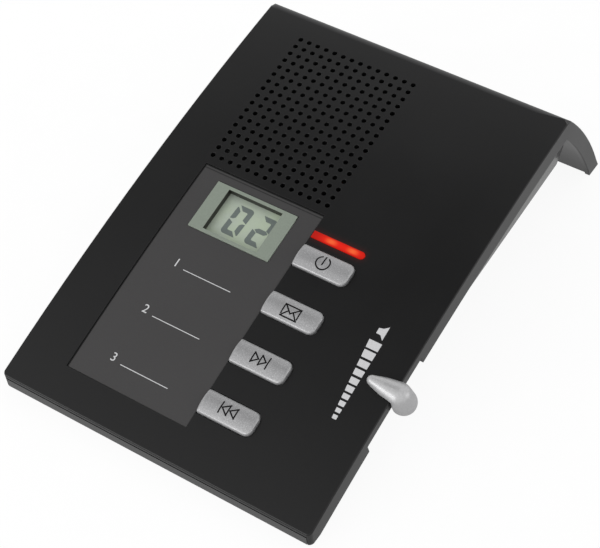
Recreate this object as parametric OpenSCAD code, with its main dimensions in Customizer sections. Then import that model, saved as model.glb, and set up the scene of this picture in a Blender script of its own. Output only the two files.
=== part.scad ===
// Desk answering machine: an arched, sloping deck on a curved rear leg, with a tray below it.
// Millimetres. X runs across the machine, Y to the rear, Z up. The origin is on the table,
// below the middle of the machine's box.

/* [Case] */
// Width of the case across the deck
case_w = 134.8; // [134.2:0.2:138]
// Length of the deck along its arch, from the front edge to the rear edge
deck_l = 190.5; // [188:0.5:194]
// Radius of the deck's arch
deck_r = 924; // [880:2:960]
// Slope of the deck at its front edge, in degrees
front_slope = 19.87; // [19:0.01:20.5]
// Height of the deck's front edge above the table
front_h = 7.1; // [7:0.1:8]
// Lean of the front face from upright, in degrees
front_lean = 5.5; // [4:0.5:12]
// Radius of the front corners, seen from above
corner_r = 2; // [2:0.5:6]
// Thickness of the deck
deck_wall = 2; // [1.8:0.1:2.2]
// Thickness of the shell's side walls
side_wall = 2; // [1.8:0.1:2.4]
// Depth of the side bands, square to the deck
band_h = 8.6; // [8:0.1:9]
// Height of the lip over the front parting line
lip_h = 1.6; // [1.2:0.1:1.8]
// Height of the front parting line
parting_gap = 0.7; // [0.3:0.1:1]

/* [Leg] */
// Distance from the deck's rear edge back to the foot
leg_reach = 35.5; // [34:0.5:38]
// Radius of the leg's curved back
leg_r = 200; // [180:5:240]
// Depth of the leg's end cheeks
leg_depth = 7; // [6:0.5:9]
// Thickness of the leg's outer wall
leg_wall = 2.2; // [1.8:0.1:2.6]
// Clearance of the hard parts above the table
sole_h = 0.3; // [0.2:0.1:0.5]

/* [Tray] */
// Slope of the tray's underside, in degrees
tray_slope = 5.67; // [5.5:0.01:5.8]
// Width of the tray's floor
tray_w = 121; // [120:0.2:121]
// Place of the tray's rear wall ahead of the foot
tray_gap = 24; // [23.5:0.5:25]
// Draft of the tray's side walls, in degrees
tray_draft = 11; // [9:1:11]
// Radius of the tray's upright rear corners
tray_corner_r = 3.5; // [3:0.5:5]
// Step from the side bands in to the tray's rim
tray_inset = 2.2; // [2.1:0.1:2.6]
// Thickness of the tray's walls
tray_wall = 2; // [1.6:0.1:2.2]
// Height of the tray's rim inside the side bands
rim_h = 1.5; // [1:0.1:2]

/* [Loudspeaker grille] */
// Columns of holes
grille_cols = 14; // [10:1:14]
// Rows of holes
grille_rows = 17; // [10:1:17]
// Pitch of the holes both ways
grille_pitch = 4; // [4:0.1:4.1]
// Diameter of a hole
grille_hole_d = 2; // [1.6:0.1:2.4]
// Place of the left column from the deck's centre line
grille_x = -46.4; // [-48:0.1:-45]
// Place of the front row behind the deck's front edge
grille_d = 114.4; // [114:0.1:116]

/* [Label and display] */
// Width of the label card
label_w = 53.4; // [52:0.1:53.4]
// Length of the label card
label_l = 96; // [90:0.5:96]
// Place of the label's left edge from the deck's centre line
label_x = -46.6; // [-47:0.1:-46.6]
// Place of the label's front edge behind the deck's front edge
label_d = 14; // [14:0.5:16]
// Thickness of the label card
label_t = 0.4; // [0.3:0.1:0.6]
// Depth of the label's face below the deck
label_sink = 0.3; // [0.2:0.1:0.4]
// Width of the display's frame
bezel_w = 36; // [34:0.5:37]
// Length of the display's frame
bezel_l = 21.7; // [21:0.1:22.5]
// Width of the display's opening
window_w = 24.2; // [22:0.1:26]
// Length of the display's opening
window_l = 18.9; // [17:0.1:19.5]
// Place of the display's centre from the deck's centre line
display_x = -19.7; // [-20:0.1:-19]
// Place of the display's centre behind the deck's front edge
display_d = 94.3; // [94:0.1:95]
// Depth of the display's glass below the deck
glass_depth = 3; // [2.7:0.1:3]

/* [Keys and light bar] */
// Length of a key across the deck
key_l = 22.8; // [20:0.1:23]
// Width of a key along the deck
key_w = 9.9; // [9:0.1:10.5]
// Height of a key's crown above the deck
key_rise = 1.85; // [1.6:0.05:2.4]
// Fall of a key's crown from its middle to its long edges
key_crown = 1.15; // [0.8:0.05:1.3]
// Place of the keys' left ends from the deck's centre line
key_x = 7; // [6.9:0.1:7.6]
// Place of the front key behind the deck's front edge
key_d = 25.45; // [25:0.05:26.5]
// Pitch of the keys
key_pitch = 21.95; // [21:0.05:22.2]
// Travel of a key
key_travel = 0.8; // [0.5:0.1:0.9]
// Gap round each key
key_gap = 0.3; // [0.2:0.05:0.4]
// Width of the light bar
bar_w = 3; // [2.5:0.1:3.5]
// Place of the light bar behind the deck's front edge
bar_d = 101.3; // [101:0.1:102]

/* [Volume slider] */
// Place of the slider at rest behind the deck's front edge
slider_d = 59.2; // [58:0.1:60]
// Place of the slot's front end behind the deck's front edge
slot_d = 38.4; // [38:0.1:39]
// Length of the slot in the side band
slot_l = 38.4; // [38:0.1:39]
// Depth of band left above the slot
slot_cover = 4.5; // [4.3:0.1:4.6]
// Reach of the knob outside the case
knob_out = 7.5; // [7.2:0.1:8.2]
// Reach of the knob over the deck
knob_in = 11.5; // [10.8:0.1:11.8]
// Width of the knob where it turns over the edge
knob_w = 10; // [9:0.1:10.5]
// Height of the knob above the deck
knob_rise = 3.6; // [3:0.1:4.5]

/* [Hidden] */

$fn = 48;
eps = 0.01;
big = 400;
arch_fn = 256;

// The deck's arch: its end slope, its run and rise, and the axis of its cylinder
deck_turn = deck_l / deck_r * 180 / PI;
rear_slope = front_slope - deck_turn;
deck_run = deck_r * (sin(front_slope) - sin(rear_slope));
deck_climb = deck_r * (cos(rear_slope) - cos(front_slope));
front_y = -(deck_run + leg_reach) / 2;
rear_y = front_y + deck_run;
rear_z = front_h + deck_climb;
foot_y = rear_y + leg_reach;
arch_y = front_y + deck_r * sin(front_slope);
arch_z = front_h - deck_r * cos(front_slope);
case_x = -knob_out / 2;

// The leg's back: the axis of its cylinder lies on the middle normal of the chord to the foot
leg_drop = rear_z - sole_h;
leg_chord = norm([leg_reach, leg_drop]);
leg_rise = sqrt(leg_r * leg_r - leg_chord * leg_chord / 4);
leg_y = rear_y + leg_reach / 2 - leg_rise * leg_drop / leg_chord;
leg_z = rear_z - leg_drop / 2 - leg_rise * leg_reach / leg_chord;
foot_t = 2;
lip_t = 2;
pad_h = 0.9;
panel_recess = 0.6;
panel_t = 2;

// The tray: its rear wall stands square to its floor
tray_front_y = front_y + (front_h - sole_h) * tan(front_lean);
tray_l = (foot_y - tray_gap - tray_front_y) / cos(tray_slope);
tray_rim = band_h - rim_h;
tray_rear_clear = 1;
rim_t = 1.8;
flange_t = 1.5;
band_front_w = case_w - 2 * (corner_r - 0.5);

// The main board lies flat below the arch, parallel to the deck over its middle
board_d = 60;
board_depth = 7;
board_t = 1.6;
board_front_d = 18;
board_rear_d = 111;
board_x0 = -57;
board_x1 = 49.6;
board_holes = [[-53.4, 24], [47.4, 24], [-53.4, 105], [47.4, 105]];

// The keys
key_ds = [key_d + 3 * key_pitch, key_d + 2 * key_pitch, key_d + key_pitch, key_d];
key_mid_x = key_x + key_l / 2;
key_flange = 0.8;
key_flange_edge = 1.2;
key_top_r = (key_w * key_w / 4 + key_crown * key_crown) / (2 * key_crown);
switch_w = 6;
switch_h = 1.7;
switch_bore_r = 1.85;
plunger_r = 1.5;
plunger_top = 2.7;
plunger_base = 1.2;

// The display
display_flange = 0.6;
glass_t = 1.8;
glass_w = 30;
glass_l = 23;
strip_w = 2;

// The light bar
bar_l = 22.4;
bar_x = 7.3;
bar_depth = 4.6;
led_xs = [15.4, 24.6];

// The volume slider
lever_depth = slot_cover + 2.1;
pot_l = 45;
pot_w = 7;
pot_h = 8;
pot_x = tray_w / 2 - tray_wall + 0.3 - pot_w;
pot_d = slot_d + slot_l / 2;
lever_t = 1.2;
lever_w = 4;
neck_w = 6;
neck_h = 3.2;
knob_tip_r = 2;
knob_waist_r = 3.75;
knob_lean = 1.45;
knob_drop = 1.8;
deck_air = 0.4;
side_air = 0.6;

// The loudspeaker, under the middle of the grille
speaker_x = grille_x + grille_pitch * (grille_cols - 1) / 2;
speaker_d = grille_d + 36;
speaker_r = 25;
speaker_rim_t = 1;
speaker_depth = 17;
speaker_seat = 3.4;
cloth_t = 0.3;
gasket_t = 0.7;
cone_r = 21;
magnet_r = 15;
magnet_h = 6;
speaker_post = 20;

// The microphone, under the grille's front corner
mic_x = -40;
mic_d = 119;
mic_r = 4.85;
mic_h = 6;

// The line board stands over the tray's floor, with its two sockets below it
line_x0 = 8;
line_x1 = 49.4;
line_v0 = 132;
line_v1 = 182;
line_rise = 13;
line_t = 1.6;
line_holes = [[11.5, 136], [46, 136], [11.5, 178], [46, 178]];
socket_x = 22;
socket_v = 170;
socket_w = 14;
socket_low = 0.5;
power_x = 37;
power_w = 9;
power_l = 11;
power_r = 3.1;

// Screws
case_posts = [[-57, 13], [57, 13], [-54, 170], [54, 170]];
foot_x = 46;
foot_r = 5;
post_r = 3;
screw_r = 1.05;
pilot_r = 1.1;
head_r = 2.4;
head_h = 1.5;
mould_tilt = (front_slope + rear_slope) / 2;

shell_color = [0.09, 0.09, 0.095];
tray_color = [0.12, 0.12, 0.125];
silver = [0.68, 0.69, 0.7];
board_green = [0.1, 0.35, 0.2];
steel = [0.6, 0.61, 0.63];

// Slope of the deck at a distance behind the front edge
function slope_at(d) = front_slope - d / deck_r * 180 / PI;

// Height of the deck's surface above the board's top face, square to the deck
function board_gap(d) = deck_r - (deck_r - board_depth) / cos((d - board_d) / deck_r * 180 / PI);

// A frame on the deck: z leaves it at a right angle and y runs to the rear
module on_deck(d) {
    translate([case_x, arch_y, arch_z])
        rotate([slope_at(d), 0, 0])
            translate([0, 0, deck_r])
                children();
}

// A frame on the board's top face, below the same place on the deck
module on_board(d) {
    on_deck(board_d)
        translate([0, (deck_r - board_depth) * tan((d - board_d) / deck_r * 180 / PI), -board_depth])
            children();
}

// A frame at the tray's front lower edge: y runs up its underside and z leaves its floor
module on_tray() {
    translate([case_x, tray_front_y, sole_h])
        rotate([tray_slope, 0, 0])
            children();
}

// A frame at the deck's front edge: z runs up the leaning front face
module on_front() {
    translate([case_x, front_y, front_h])
        rotate([front_lean, 0, 0])
            children();
}

// A frame on the deck whose z is the common direction of the case's screws
module on_post(p) {
    on_deck(p[1])
        translate([p[0], 0, 0])
            rotate([mould_tilt - slope_at(p[1]), 0, 0])
                children();
}

// The cylinder that the deck's surface is part of
module arch(r) {
    translate([case_x, arch_y, arch_z])
        rotate([0, 90, 0])
            cylinder(r = r, h = big, center = true, $fn = arch_fn);
}

// The cylinder that the leg's back is part of
module leg_arch(r) {
    translate([case_x, leg_y, leg_z])
        rotate([0, 90, 0])
            cylinder(r = r, h = big, center = true, $fn = arch_fn);
}

// All that lies behind the front face and between the sides, above the table
module envelope(side, front, low) {
    r = max(corner_r - side, 0.5);
    w = case_w - 2 * side;
    intersection() {
        on_front()
            translate([0, front, -big / 2])
                linear_extrude(big)
                    union() {
                        translate([-w / 2 + r, 0])
                            square([w - 2 * r, big]);
                        translate([-w / 2, r])
                            square([w, big]);
                        for (s = [-1, 1])
                            translate([s * (w / 2 - r), r])
                                circle(r);
                    }
        translate([-big / 2, -big / 2, low])
            cube([big, big, big]);
    }
}

// A post under the deck, along the case's screw direction
module deck_post(p, r, depth) {
    intersection() {
        on_post(p)
            translate([0, 0, -depth])
                cylinder(r = r, h = depth);
        arch(deck_r - deck_wall / 2);
    }
}

// Depths of the case's posts below the deck, front pair and rear pair
function post_depth(p) = p[1] < deck_l / 2 ? 6 : 16;

module grille_holes() {
    for (row = [0:grille_rows - 1])
        on_deck(grille_d + row * grille_pitch)
            for (col = [0:grille_cols - 1])
                translate([grille_x + col * grille_pitch, 0, -deck_wall - 1])
                    cylinder(d = grille_hole_d, h = deck_wall + 2, $fn = 24);
}

// Outline of a key, square at its left end and rounded at its right end
module key_outline(gap) {
    r = 3 + gap;
    l = key_l + 2 * gap;
    w = key_w + 2 * gap;
    translate([-l / 2, -w / 2]) {
        square([l - r, w]);
        translate([0, r])
            square([l, w - 2 * r]);
        for (y = [r, w - r])
            translate([l - r, y])
                circle(r);
    }
}

// Outline of the light bar, square at its left end and round at its right end
module bar_outline(gap) {
    translate([-gap, -bar_w / 2 - gap])
        square([bar_l - bar_w / 2 + gap, bar_w + 2 * gap]);
    translate([bar_l - bar_w / 2, 0])
        circle(bar_w / 2 + gap);
}

module block(w, l, h) {
    translate([-w / 2, -l / 2, 0])
        cube([w, l, h]);
}

module speaker_posts() {
    for (x = [-1, 1], y = [-1, 1])
        on_deck(speaker_d)
            translate([speaker_x + x * speaker_post, y * speaker_post, 0])
                children();
}

module board_posts() {
    for (p = board_holes)
        on_board(p[1])
            translate([p[0], 0, 0])
                children();
}

module top_shell() {
    color(shell_color)
    difference() {
        union() {
            difference() {
                intersection() {
                    arch(deck_r);
                    leg_arch(leg_r);
                    envelope(0, 0, sole_h);
                }
                intersection() {
                    arch(deck_r - band_h);
                    leg_arch(leg_r - leg_depth);
                }
                intersection() {
                    arch(deck_r - deck_wall);
                    leg_arch(leg_r - leg_wall);
                    envelope(side_wall, lip_t, -1);
                }
                front_rebate();
                band_slot();
            }
            foot_flange();
            for (p = case_posts)
                deck_post(p, post_r, post_depth(p));
            intersection() {
                speaker_posts()
                    translate([0, 0, -speaker_seat - speaker_rim_t])
                        cylinder(r = 2.6, h = speaker_seat);
                arch(deck_r - deck_wall / 2);
            }
            intersection() {
                board_posts()
                    cylinder(r = 2.4, h = board_depth);
                arch(deck_r - deck_wall / 2);
            }
        }
        for (p = case_posts)
            on_post(p)
                translate([0, 0, -post_depth(p) - 1])
                    cylinder(r = pilot_r, h = post_depth(p) - deck_wall);
        speaker_posts()
            translate([0, 0, -speaker_seat - speaker_rim_t - 1])
                cylinder(r = pilot_r, h = 3.6, $fn = 24);
        board_posts()
            translate([0, 0, -1])
                cylinder(r = pilot_r, h = 4, $fn = 24);
        foot_pad_seats();
        grille_holes();
        label_seat();
        on_deck(display_d)
            translate([display_x, 0, -deck_wall - 1])
                block(bezel_w + 0.4, bezel_l + 0.4, deck_wall + 2);
        for (d = key_ds)
            on_deck(d)
                translate([key_mid_x, 0, -deck_wall - 1])
                    linear_extrude(deck_wall + 2)
                        key_outline(key_gap);
        on_deck(bar_d)
            translate([bar_x, 0, -deck_wall - 1])
                linear_extrude(deck_wall + 2)
                    bar_outline(0.1);
    }
}

// The flat sole that closes the foot of the leg
module foot_flange() {
    intersection() {
        leg_ring(leg_r - leg_depth + panel_recess, leg_r - eps, sole_h, sole_h + pad_h + foot_t);
        translate([case_x - case_w / 2 + eps, -big / 2, 0])
            cube([case_w - 2 * eps, big, big]);
    }
}

// Two shallow seats under the leg for its rubber pads
module foot_pad_seats() {
    for (s = [-1, 1])
        translate([case_x + s * 44, 0, 0])
            intersection() {
                translate([-18.2, 0, 0])
                    cube([36.4, big, sole_h + pad_h]);
                translate([-case_x - s * 44, 0, 0])
                    leg_ring(leg_r - leg_depth + 1.4, leg_r - 1.2, 0, sole_h + pad_h);
            }
}

// A slice of the leg between two radii and two heights
module leg_ring(r0, r1, z0, z1) {
    difference() {
        intersection() {
            leg_arch(r1);
            translate([-big / 2, rear_y - 10, z0])
                cube([big, big, z1 - z0]);
        }
        leg_arch(r0);
    }
}

// The tray's front band comes up into this rebate behind the lip
module front_rebate() {
    on_front()
        translate([-band_front_w / 2, -1, -2 * front_h])
            cube([band_front_w, 4.2, 2 * front_h - lip_h]);
}

// The slot for the slider, open at the side band's lower edge
module band_slot() {
    intersection() {
        arch(deck_r - slot_cover);
        on_deck(slot_d + slot_l / 2)
            translate([case_w / 2 - 2 * side_wall, -slot_l / 2, -2 * band_h])
                cube([3 * side_wall, slot_l, 2 * band_h]);
    }
}

module label_seat() {
    intersection() {
        difference() {
            arch(deck_r + 1);
            arch(deck_r - label_sink - label_t);
        }
        on_deck(label_d + label_l / 2)
            translate([label_x - 0.1, -label_l / 2 - 0.1, -6])
                cube([label_w + 0.2, label_l + 0.2, 12]);
    }
}

// The inner face of the leg, clipped between its end cheeks
module leg_panel() {
    w = case_w - 2 * side_wall - 0.4;
    color(shell_color)
    intersection() {
        leg_ring(leg_r - leg_depth + panel_recess, leg_r - leg_depth + panel_recess + panel_t,
            sole_h + pad_h + foot_t, rear_z - band_h - 4);
        translate([case_x - w / 2, -big / 2, 0])
            cube([w, big, big]);
    }
}

// A slab between two upright planes, both at the same distance from the case's centre line
module middle(half) {
    translate([case_x - half, -big / 2, -big / 2])
        cube([2 * half, big, big]);
}

// All that lies behind the front face and above the tray's sole
module behind_front(back) {
    intersection() {
        on_front()
            translate([-big / 2, back, -big / 2])
                cube([big, big, big]);
        translate([-big / 2, -big / 2, sole_h])
            cube([big, big, big]);
    }
}

// The tray's box, or its hollow when the walls are taken off
module tray_box(wall, top) {
    half = tray_w / 2 - wall;
    deep = 60;
    spread = deep * tan(tray_draft);
    intersection() {
        arch(deck_r - top);
        leg_arch(leg_r - leg_depth - tray_rear_clear - wall);
        middle(case_w / 2 - tray_inset - wall);
        behind_front(wall > 0 ? wall + 0.4 : 0);
        on_tray()
            translate([0, tray_l - wall, wall])
                rotate([90, 0, 0])
                    linear_extrude(tray_l + 20)
                        polygon([[-half, 0], [half, 0], [half + spread, deep], [-half - spread, deep]]);
    }
}

// The flange beside the box, level with the side bands' lower edge, and its rim inside them
module tray_flange() {
    intersection() {
        difference() {
            arch(deck_r - tray_rim);
            arch(deck_r - band_h - flange_t);
        }
        leg_arch(leg_r - leg_depth - tray_rear_clear);
        middle(case_w / 2 - tray_inset);
        behind_front(0);
    }
}

// The room above the flange, inside the rim
module rim_room() {
    intersection() {
        difference() {
            arch(deck_r - 1);
            arch(deck_r - band_h);
        }
        leg_arch(leg_r - leg_depth - tray_rear_clear - tray_wall);
        middle(case_w / 2 - tray_inset - rim_t);
        behind_front(tray_wall + 0.4);
        on_tray()
            translate([-big / 2, -20, tray_wall])
                cube([big, big, big]);
    }
}

// The tray's front, as wide as the rebate behind the lip
module tray_front() {
    w = band_front_w - 0.4;
    intersection() {
        on_front()
            translate([-w / 2, 0, -2 * front_h])
                cube([w, 3, 2 * front_h - lip_h - parting_gap]);
        behind_front(0);
    }
}

module base_tray() {
    color(tray_color)
    difference() {
        union() {
            difference() {
                union() {
                    tray_box(0, tray_rim);
                    tray_flange();
                    tray_front();
                }
                tray_box(tray_wall, 1);
                rim_room();
                front_lip_room();
                slot_room();
                tray_corner_cuts();
            }
            tray_posts();
            pot_cradle();
            on_tray()
                for (p = line_holes)
                    translate([p[0], p[1], tray_wall - 0.5])
                        cylinder(r = 2.4, h = line_rise - tray_wall + 0.5);
        }
        for (p = case_posts)
            on_post(p) {
                translate([0, 0, -50])
                    cylinder(r = 1.3, h = 50);
                translate([0, 0, -50 - screw_seat(p)])
                    cylinder(r = head_r + 0.2, h = 50);
            }
        on_tray()
            for (p = line_holes)
                translate([p[0], p[1], line_rise - 4])
                    cylinder(r = pilot_r, h = 5, $fn = 24);
        socket_mouths();
        foot_sockets();
    }
}

// Depth below the deck at which a case screw's head bears
function screw_seat(p) = p[1] < deck_l / 2 ? 7.2 : 26;

// Hollow pillars round the case's screws, up to the shell's posts
module tray_posts() {
    for (p = case_posts)
        intersection() {
            on_post(p)
                translate([0, 0, -60])
                    cylinder(r = post_r + 0.6, h = 60 - post_depth(p) - 0.1);
            union() {
                tray_box(0, tray_rim);
                tray_flange();
            }
        }
}

// The rim behind the front lip steps down, so that a dark line shows between the two
module front_lip_room() {
    on_front()
        translate([-big / 2, -1, -lip_h - parting_gap])
            cube([big, 5.6, 20]);
    for (s = [-1, 1])
        on_front()
            translate([s * (band_front_w / 2 - 0.2) + (s < 0 ? -20 : 0), -1, -20])
                cube([20, corner_r + 0.6, 40]);
}

// The tray's rim is cut down where the slider's neck passes
module slot_room() {
    difference() {
        on_deck(slot_d + slot_l / 2)
            translate([case_w / 2 - 12, -slot_l / 2, -2 * band_h])
                cube([12, slot_l, 3 * band_h]);
        arch(deck_r - band_h);
    }
}

// What a rounding leaves of the tray's upright rear corners
module tray_corner_cuts() {
    r = tray_corner_r;
    on_tray()
        for (m = [0, 1])
            mirror([m, 0, 0])
                translate([tray_w / 2, tray_l, 0])
                    rotate([0, tray_draft, 0])
                        difference() {
                            translate([-r, -r, -5])
                                cube([r + 5, r + 5, 50]);
                            translate([-r, -r, -6])
                                cylinder(r = r, h = 52);
                        }
}

// Two ribs on the tray's floor that hold the slide control
module pot_cradle() {
    intersection() {
        tray_box(0, 0);
        on_deck(pot_d)
            for (y = [-pot_l / 2 + 4, pot_l / 2 - 4])
                translate([pot_x - 1.6, y - 1, -30]) {
                    cube([pot_w + 0.8, 2, 30 - lever_depth - pot_h / 2 - 0.05]);
                    cube([1.5, 2, 26]);
                }
    }
}

// Openings in the tray's floor for the two sockets
module socket_mouths() {
    on_tray() {
        translate([socket_x, socket_v, -1])
            block(socket_w + 0.4, socket_w + 0.4, tray_wall + 2);
        translate([power_x, socket_v, -1])
            block(power_w + 0.4, power_l + 0.4, tray_wall + 2);
    }
}

module foot_sockets() {
    for (s = [-1, 1])
        translate([case_x + s * foot_x, front_y + 12, -1])
            cylinder(r = foot_r + 0.1, h = 3.4);
}

module front_feet() {
    color([0.16, 0.16, 0.16])
    for (s = [-1, 1])
        translate([case_x + s * foot_x, front_y + 12, 0])
            cylinder(r = foot_r, h = 2.4);
}

module leg_feet() {
    color([0.16, 0.16, 0.16])
    for (s = [-1, 1])
        intersection() {
            translate([case_x + s * 44 - 18, 0, 0])
                cube([36, big, big]);
            leg_ring(leg_r - leg_depth + 1.6, leg_r - 1.4, 0, sole_h + pad_h);
        }
}

module label_card() {
    color([0.27, 0.265, 0.265])
    difference() {
        intersection() {
            difference() {
                arch(deck_r - label_sink);
                arch(deck_r - label_sink - label_t);
            }
            on_deck(label_d + label_l / 2)
                translate([label_x, -label_l / 2, -6])
                    cube([label_w, label_l, 12]);
        }
        on_deck(display_d)
            translate([display_x, 0, -3])
                block(bezel_w + 0.4, bezel_l + 0.4, 6);
    }
}

module display_frame() {
    color([0.62, 0.65, 0.58])
    on_deck(display_d)
        translate([display_x, 0, 0])
            difference() {
                union() {
                    translate([0, 0, -glass_depth])
                        block(bezel_w, bezel_l, glass_depth - 0.06);
                    translate([0, 0, -glass_depth])
                        block(bezel_w + 3.6, bezel_l + 3.6, display_flange);
                }
                translate([0, 0, -glass_depth - 1])
                    block(window_w, window_l, glass_depth + 2);
            }
}

module display_glass() {
    color([0.72, 0.75, 0.66])
    on_deck(display_d)
        translate([display_x, 0, -glass_depth - glass_t])
            block(glass_w, glass_l, glass_t);
}

// Two rubber contact strips between the glass and the board
module display_connectors() {
    color([0.85, 0.5, 0.55])
    for (s = [-1, 1])
        intersection() {
            on_deck(display_d)
                translate([display_x, s * (glass_l - strip_w) / 2, -12])
                    block(glass_w - 1, strip_w, 12 - glass_depth - glass_t);
            on_board(display_d)
                translate([display_x, 0, 0])
                    block(80, 80, 20);
        }
}

// A crowned key cap with a flange that holds it under the deck and a stem over its switch
module key_cap(d) {
    stem = board_gap(d) - plunger_top;
    color(silver)
    on_deck(d)
        translate([key_mid_x, 0, 0]) {
            intersection() {
                translate([0, 0, -deck_wall - 0.6])
                    linear_extrude(deck_wall + 0.6 + key_rise)
                        key_outline(0);
                translate([0, 0, key_rise - key_top_r])
                    rotate([0, 90, 0])
                        cylinder(r = key_top_r, h = 2 * key_l, center = true, $fn = 128);
            }
            translate([0, 0, -deck_wall - 0.2 - key_flange])
                linear_extrude(key_flange)
                    translate([-key_l / 2 + 0.5, -key_w / 2 - key_flange_edge])
                        square([key_l, key_w + 2 * key_flange_edge]);
            translate([0, 0, -stem])
                cylinder(r = 2.2, h = stem - deck_wall);
        }
}

module key_power() {
    key_cap(key_ds[0]);
}

module key_message() {
    key_cap(key_ds[1]);
}

module key_next() {
    key_cap(key_ds[2]);
}

module key_previous() {
    key_cap(key_ds[3]);
}

// The plunger of one low switch, pressed by the stem of its key
module plunger(d) {
    color([0.85, 0.85, 0.82])
    on_deck(d)
        translate([key_mid_x, 0, plunger_base - board_gap(d)])
            cylinder(r = plunger_r, h = plunger_top - plunger_base);
}

module plunger_power() {
    plunger(key_ds[0]);
}

module plunger_message() {
    plunger(key_ds[1]);
}

module plunger_next() {
    plunger(key_ds[2]);
}

module plunger_previous() {
    plunger(key_ds[3]);
}

module key_switches() {
    color([0.12, 0.12, 0.12])
    for (d = key_ds)
        on_board(d)
            translate([key_mid_x, 0, 0])
                difference() {
                    block(switch_w, switch_w, switch_h);
                    translate([0, 0, 0.2])
                        cylinder(r = switch_bore_r, h = switch_h);
                }
}

module light_bar() {
    color([0.8, 0.08, 0.05])
    on_deck(bar_d)
        translate([bar_x, 0, 0]) {
            translate([0, 0, -bar_depth])
                linear_extrude(bar_depth + 0.2)
                    bar_outline(0);
            translate([0.5, -bar_w / 2 - 1, -deck_wall - 0.9])
                cube([bar_l - 3, bar_w + 2, 0.8]);
        }
}

module indicator_leds() {
    color([0.9, 0.25, 0.15])
    on_board(bar_d)
        for (x = led_xs)
            translate([x, 0, 0])
                block(3, 2, 1.1);
}

// A drop-shaped knob that lies over the deck's edge and turns down outside the case
module volume_knob() {
    edge = case_w / 2;
    r = knob_w / 2;
    tip = [edge - knob_in + knob_tip_r, 0, knob_tip_r / 2];
    bend = [edge + knob_out - r - knob_lean, 0, knob_rise - r];
    low = [edge + knob_out - r, 0, r - band_h - knob_drop];
    color(silver)
    on_deck(slider_d)
        difference() {
            union() {
                ball_link(tip, knob_tip_r, (tip + bend) / 2, knob_waist_r);
                ball_link((tip + bend) / 2, knob_waist_r, bend, r);
                ball_link(bend, r, low, r);
                translate([edge - side_wall - 0.4, -neck_w / 2, -lever_depth - neck_h / 2])
                    cube([side_wall + 3, neck_w, neck_h]);
            }
            translate([edge - 40, -20, -slot_cover - 0.4])
                cube([40 + side_air, 40, slot_cover + 0.4 + deck_air]);
            translate([edge - 40, -20, -40])
                cube([40 + side_air, 40, 40 - lever_depth - neck_h / 2]);
            translate([edge - 40, neck_w / 2, -20])
                cube([40 + side_air, 20, 20]);
            translate([edge - 40, -20 - neck_w / 2, -20])
                cube([40 + side_air, 20, 20]);
            translate([edge - 6, -lever_w / 2, -lever_depth - lever_t / 2])
                cube([8, lever_w, lever_t]);
        }
}

// Two balls joined by their common skin
module ball_link(a, ra, b, rb) {
    hull() {
        translate(a)
            sphere(ra, $fn = 32);
        translate(b)
            sphere(rb, $fn = 32);
    }
}

// The steel lever of the slide control, pushed into the knob's neck
module slider_lever() {
    color(steel)
    on_deck(slider_d)
        translate([pot_x + pot_w - 3, -lever_w / 2, -lever_depth - lever_t / 2])
            cube([case_w / 2 + 2 - pot_x - pot_w + 3, lever_w, lever_t]);
}

// A slide control on edge beside the side wall, with its lever's slit facing outward
module slide_control() {
    color([0.2, 0.2, 0.21])
    on_deck(pot_d)
        difference() {
            translate([pot_x, -pot_l / 2, -lever_depth - pot_h / 2])
                cube([pot_w, pot_l, pot_h]);
            translate([pot_x + pot_w - 4, -pot_l / 2 + 3.5, -lever_depth - lever_t / 2 - 0.5])
                cube([5, pot_l - 7, lever_t + 1]);
        }
}

module speaker_cloth() {
    color([0.1, 0.1, 0.1])
    intersection() {
        difference() {
            arch(deck_r - deck_wall);
            arch(deck_r - deck_wall - cloth_t);
        }
        on_deck(speaker_d)
            translate([speaker_x, 0, -8])
                cylinder(r = speaker_r, h = 16);
    }
}

module speaker_gasket() {
    color([0.2, 0.2, 0.2])
    on_deck(speaker_d)
        translate([speaker_x, 0, -speaker_seat])
            difference() {
                cylinder(r = speaker_r, h = gasket_t);
                translate([0, 0, -1])
                    cylinder(r = cone_r + 0.5, h = gasket_t + 2);
            }
}

// A pressed steel basket: a flat rim and a tapered bowl with a floor
module speaker_frame() {
    bowl = speaker_depth - magnet_h - speaker_rim_t;
    color(steel)
    on_deck(speaker_d)
        translate([speaker_x, 0, -speaker_seat - speaker_rim_t])
            rotate_extrude()
                polygon([
                    [cone_r, 0], [speaker_r, 0], [speaker_r, speaker_rim_t], [cone_r + 0.5, speaker_rim_t],
                    [magnet_r + 0.5, -bowl + 1], [4.5, -bowl + 1], [4.5, -bowl], [magnet_r + 1, -bowl],
                    [cone_r + 1, -0.8], [cone_r + 1, 0]
                ]);
}

module speaker_cone() {
    color([0.75, 0.73, 0.66])
    on_deck(speaker_d)
        translate([speaker_x, 0, -speaker_seat - speaker_rim_t])
            rotate_extrude()
                polygon([
                    [0, -4.8], [6, -5.6], [cone_r - 1.2, 0.5], [cone_r - 0.2, 0.5],
                    [cone_r - 0.2, 0.1], [cone_r - 1, 0.1], [6.2, -6.1], [0, -5.3]
                ]);
}

module speaker_magnet() {
    low = speaker_seat + speaker_depth;
    color([0.25, 0.25, 0.27])
    on_deck(speaker_d)
        translate([speaker_x, 0, -low]) {
            cylinder(r = magnet_r, h = magnet_h);
            cylinder(r = 4.2, h = magnet_h + 1);
        }
}

module pan_screw(length, head) {
    translate([0, 0, -head_h])
        difference() {
            cylinder(r = head, h = head_h, $fn = 32);
            for (a = [0, 90])
                rotate([0, 0, a])
                    block(0.6, 2.6, 0.8);
        }
    cylinder(r = screw_r, h = length, $fn = 24);
}

module speaker_screws() {
    color(steel)
    speaker_posts()
        translate([0, 0, -speaker_seat - speaker_rim_t])
            pan_screw(2.4, 4.2);
}

module board_screws() {
    color(steel)
    board_posts()
        translate([0, 0, -board_t])
            pan_screw(board_t + 2.6, head_r);
}

module case_screws() {
    color(steel)
    for (p = case_posts)
        on_post(p)
            translate([0, 0, -screw_seat(p)])
                pan_screw(screw_seat(p) - deck_wall - 1.4, head_r);
}

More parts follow.
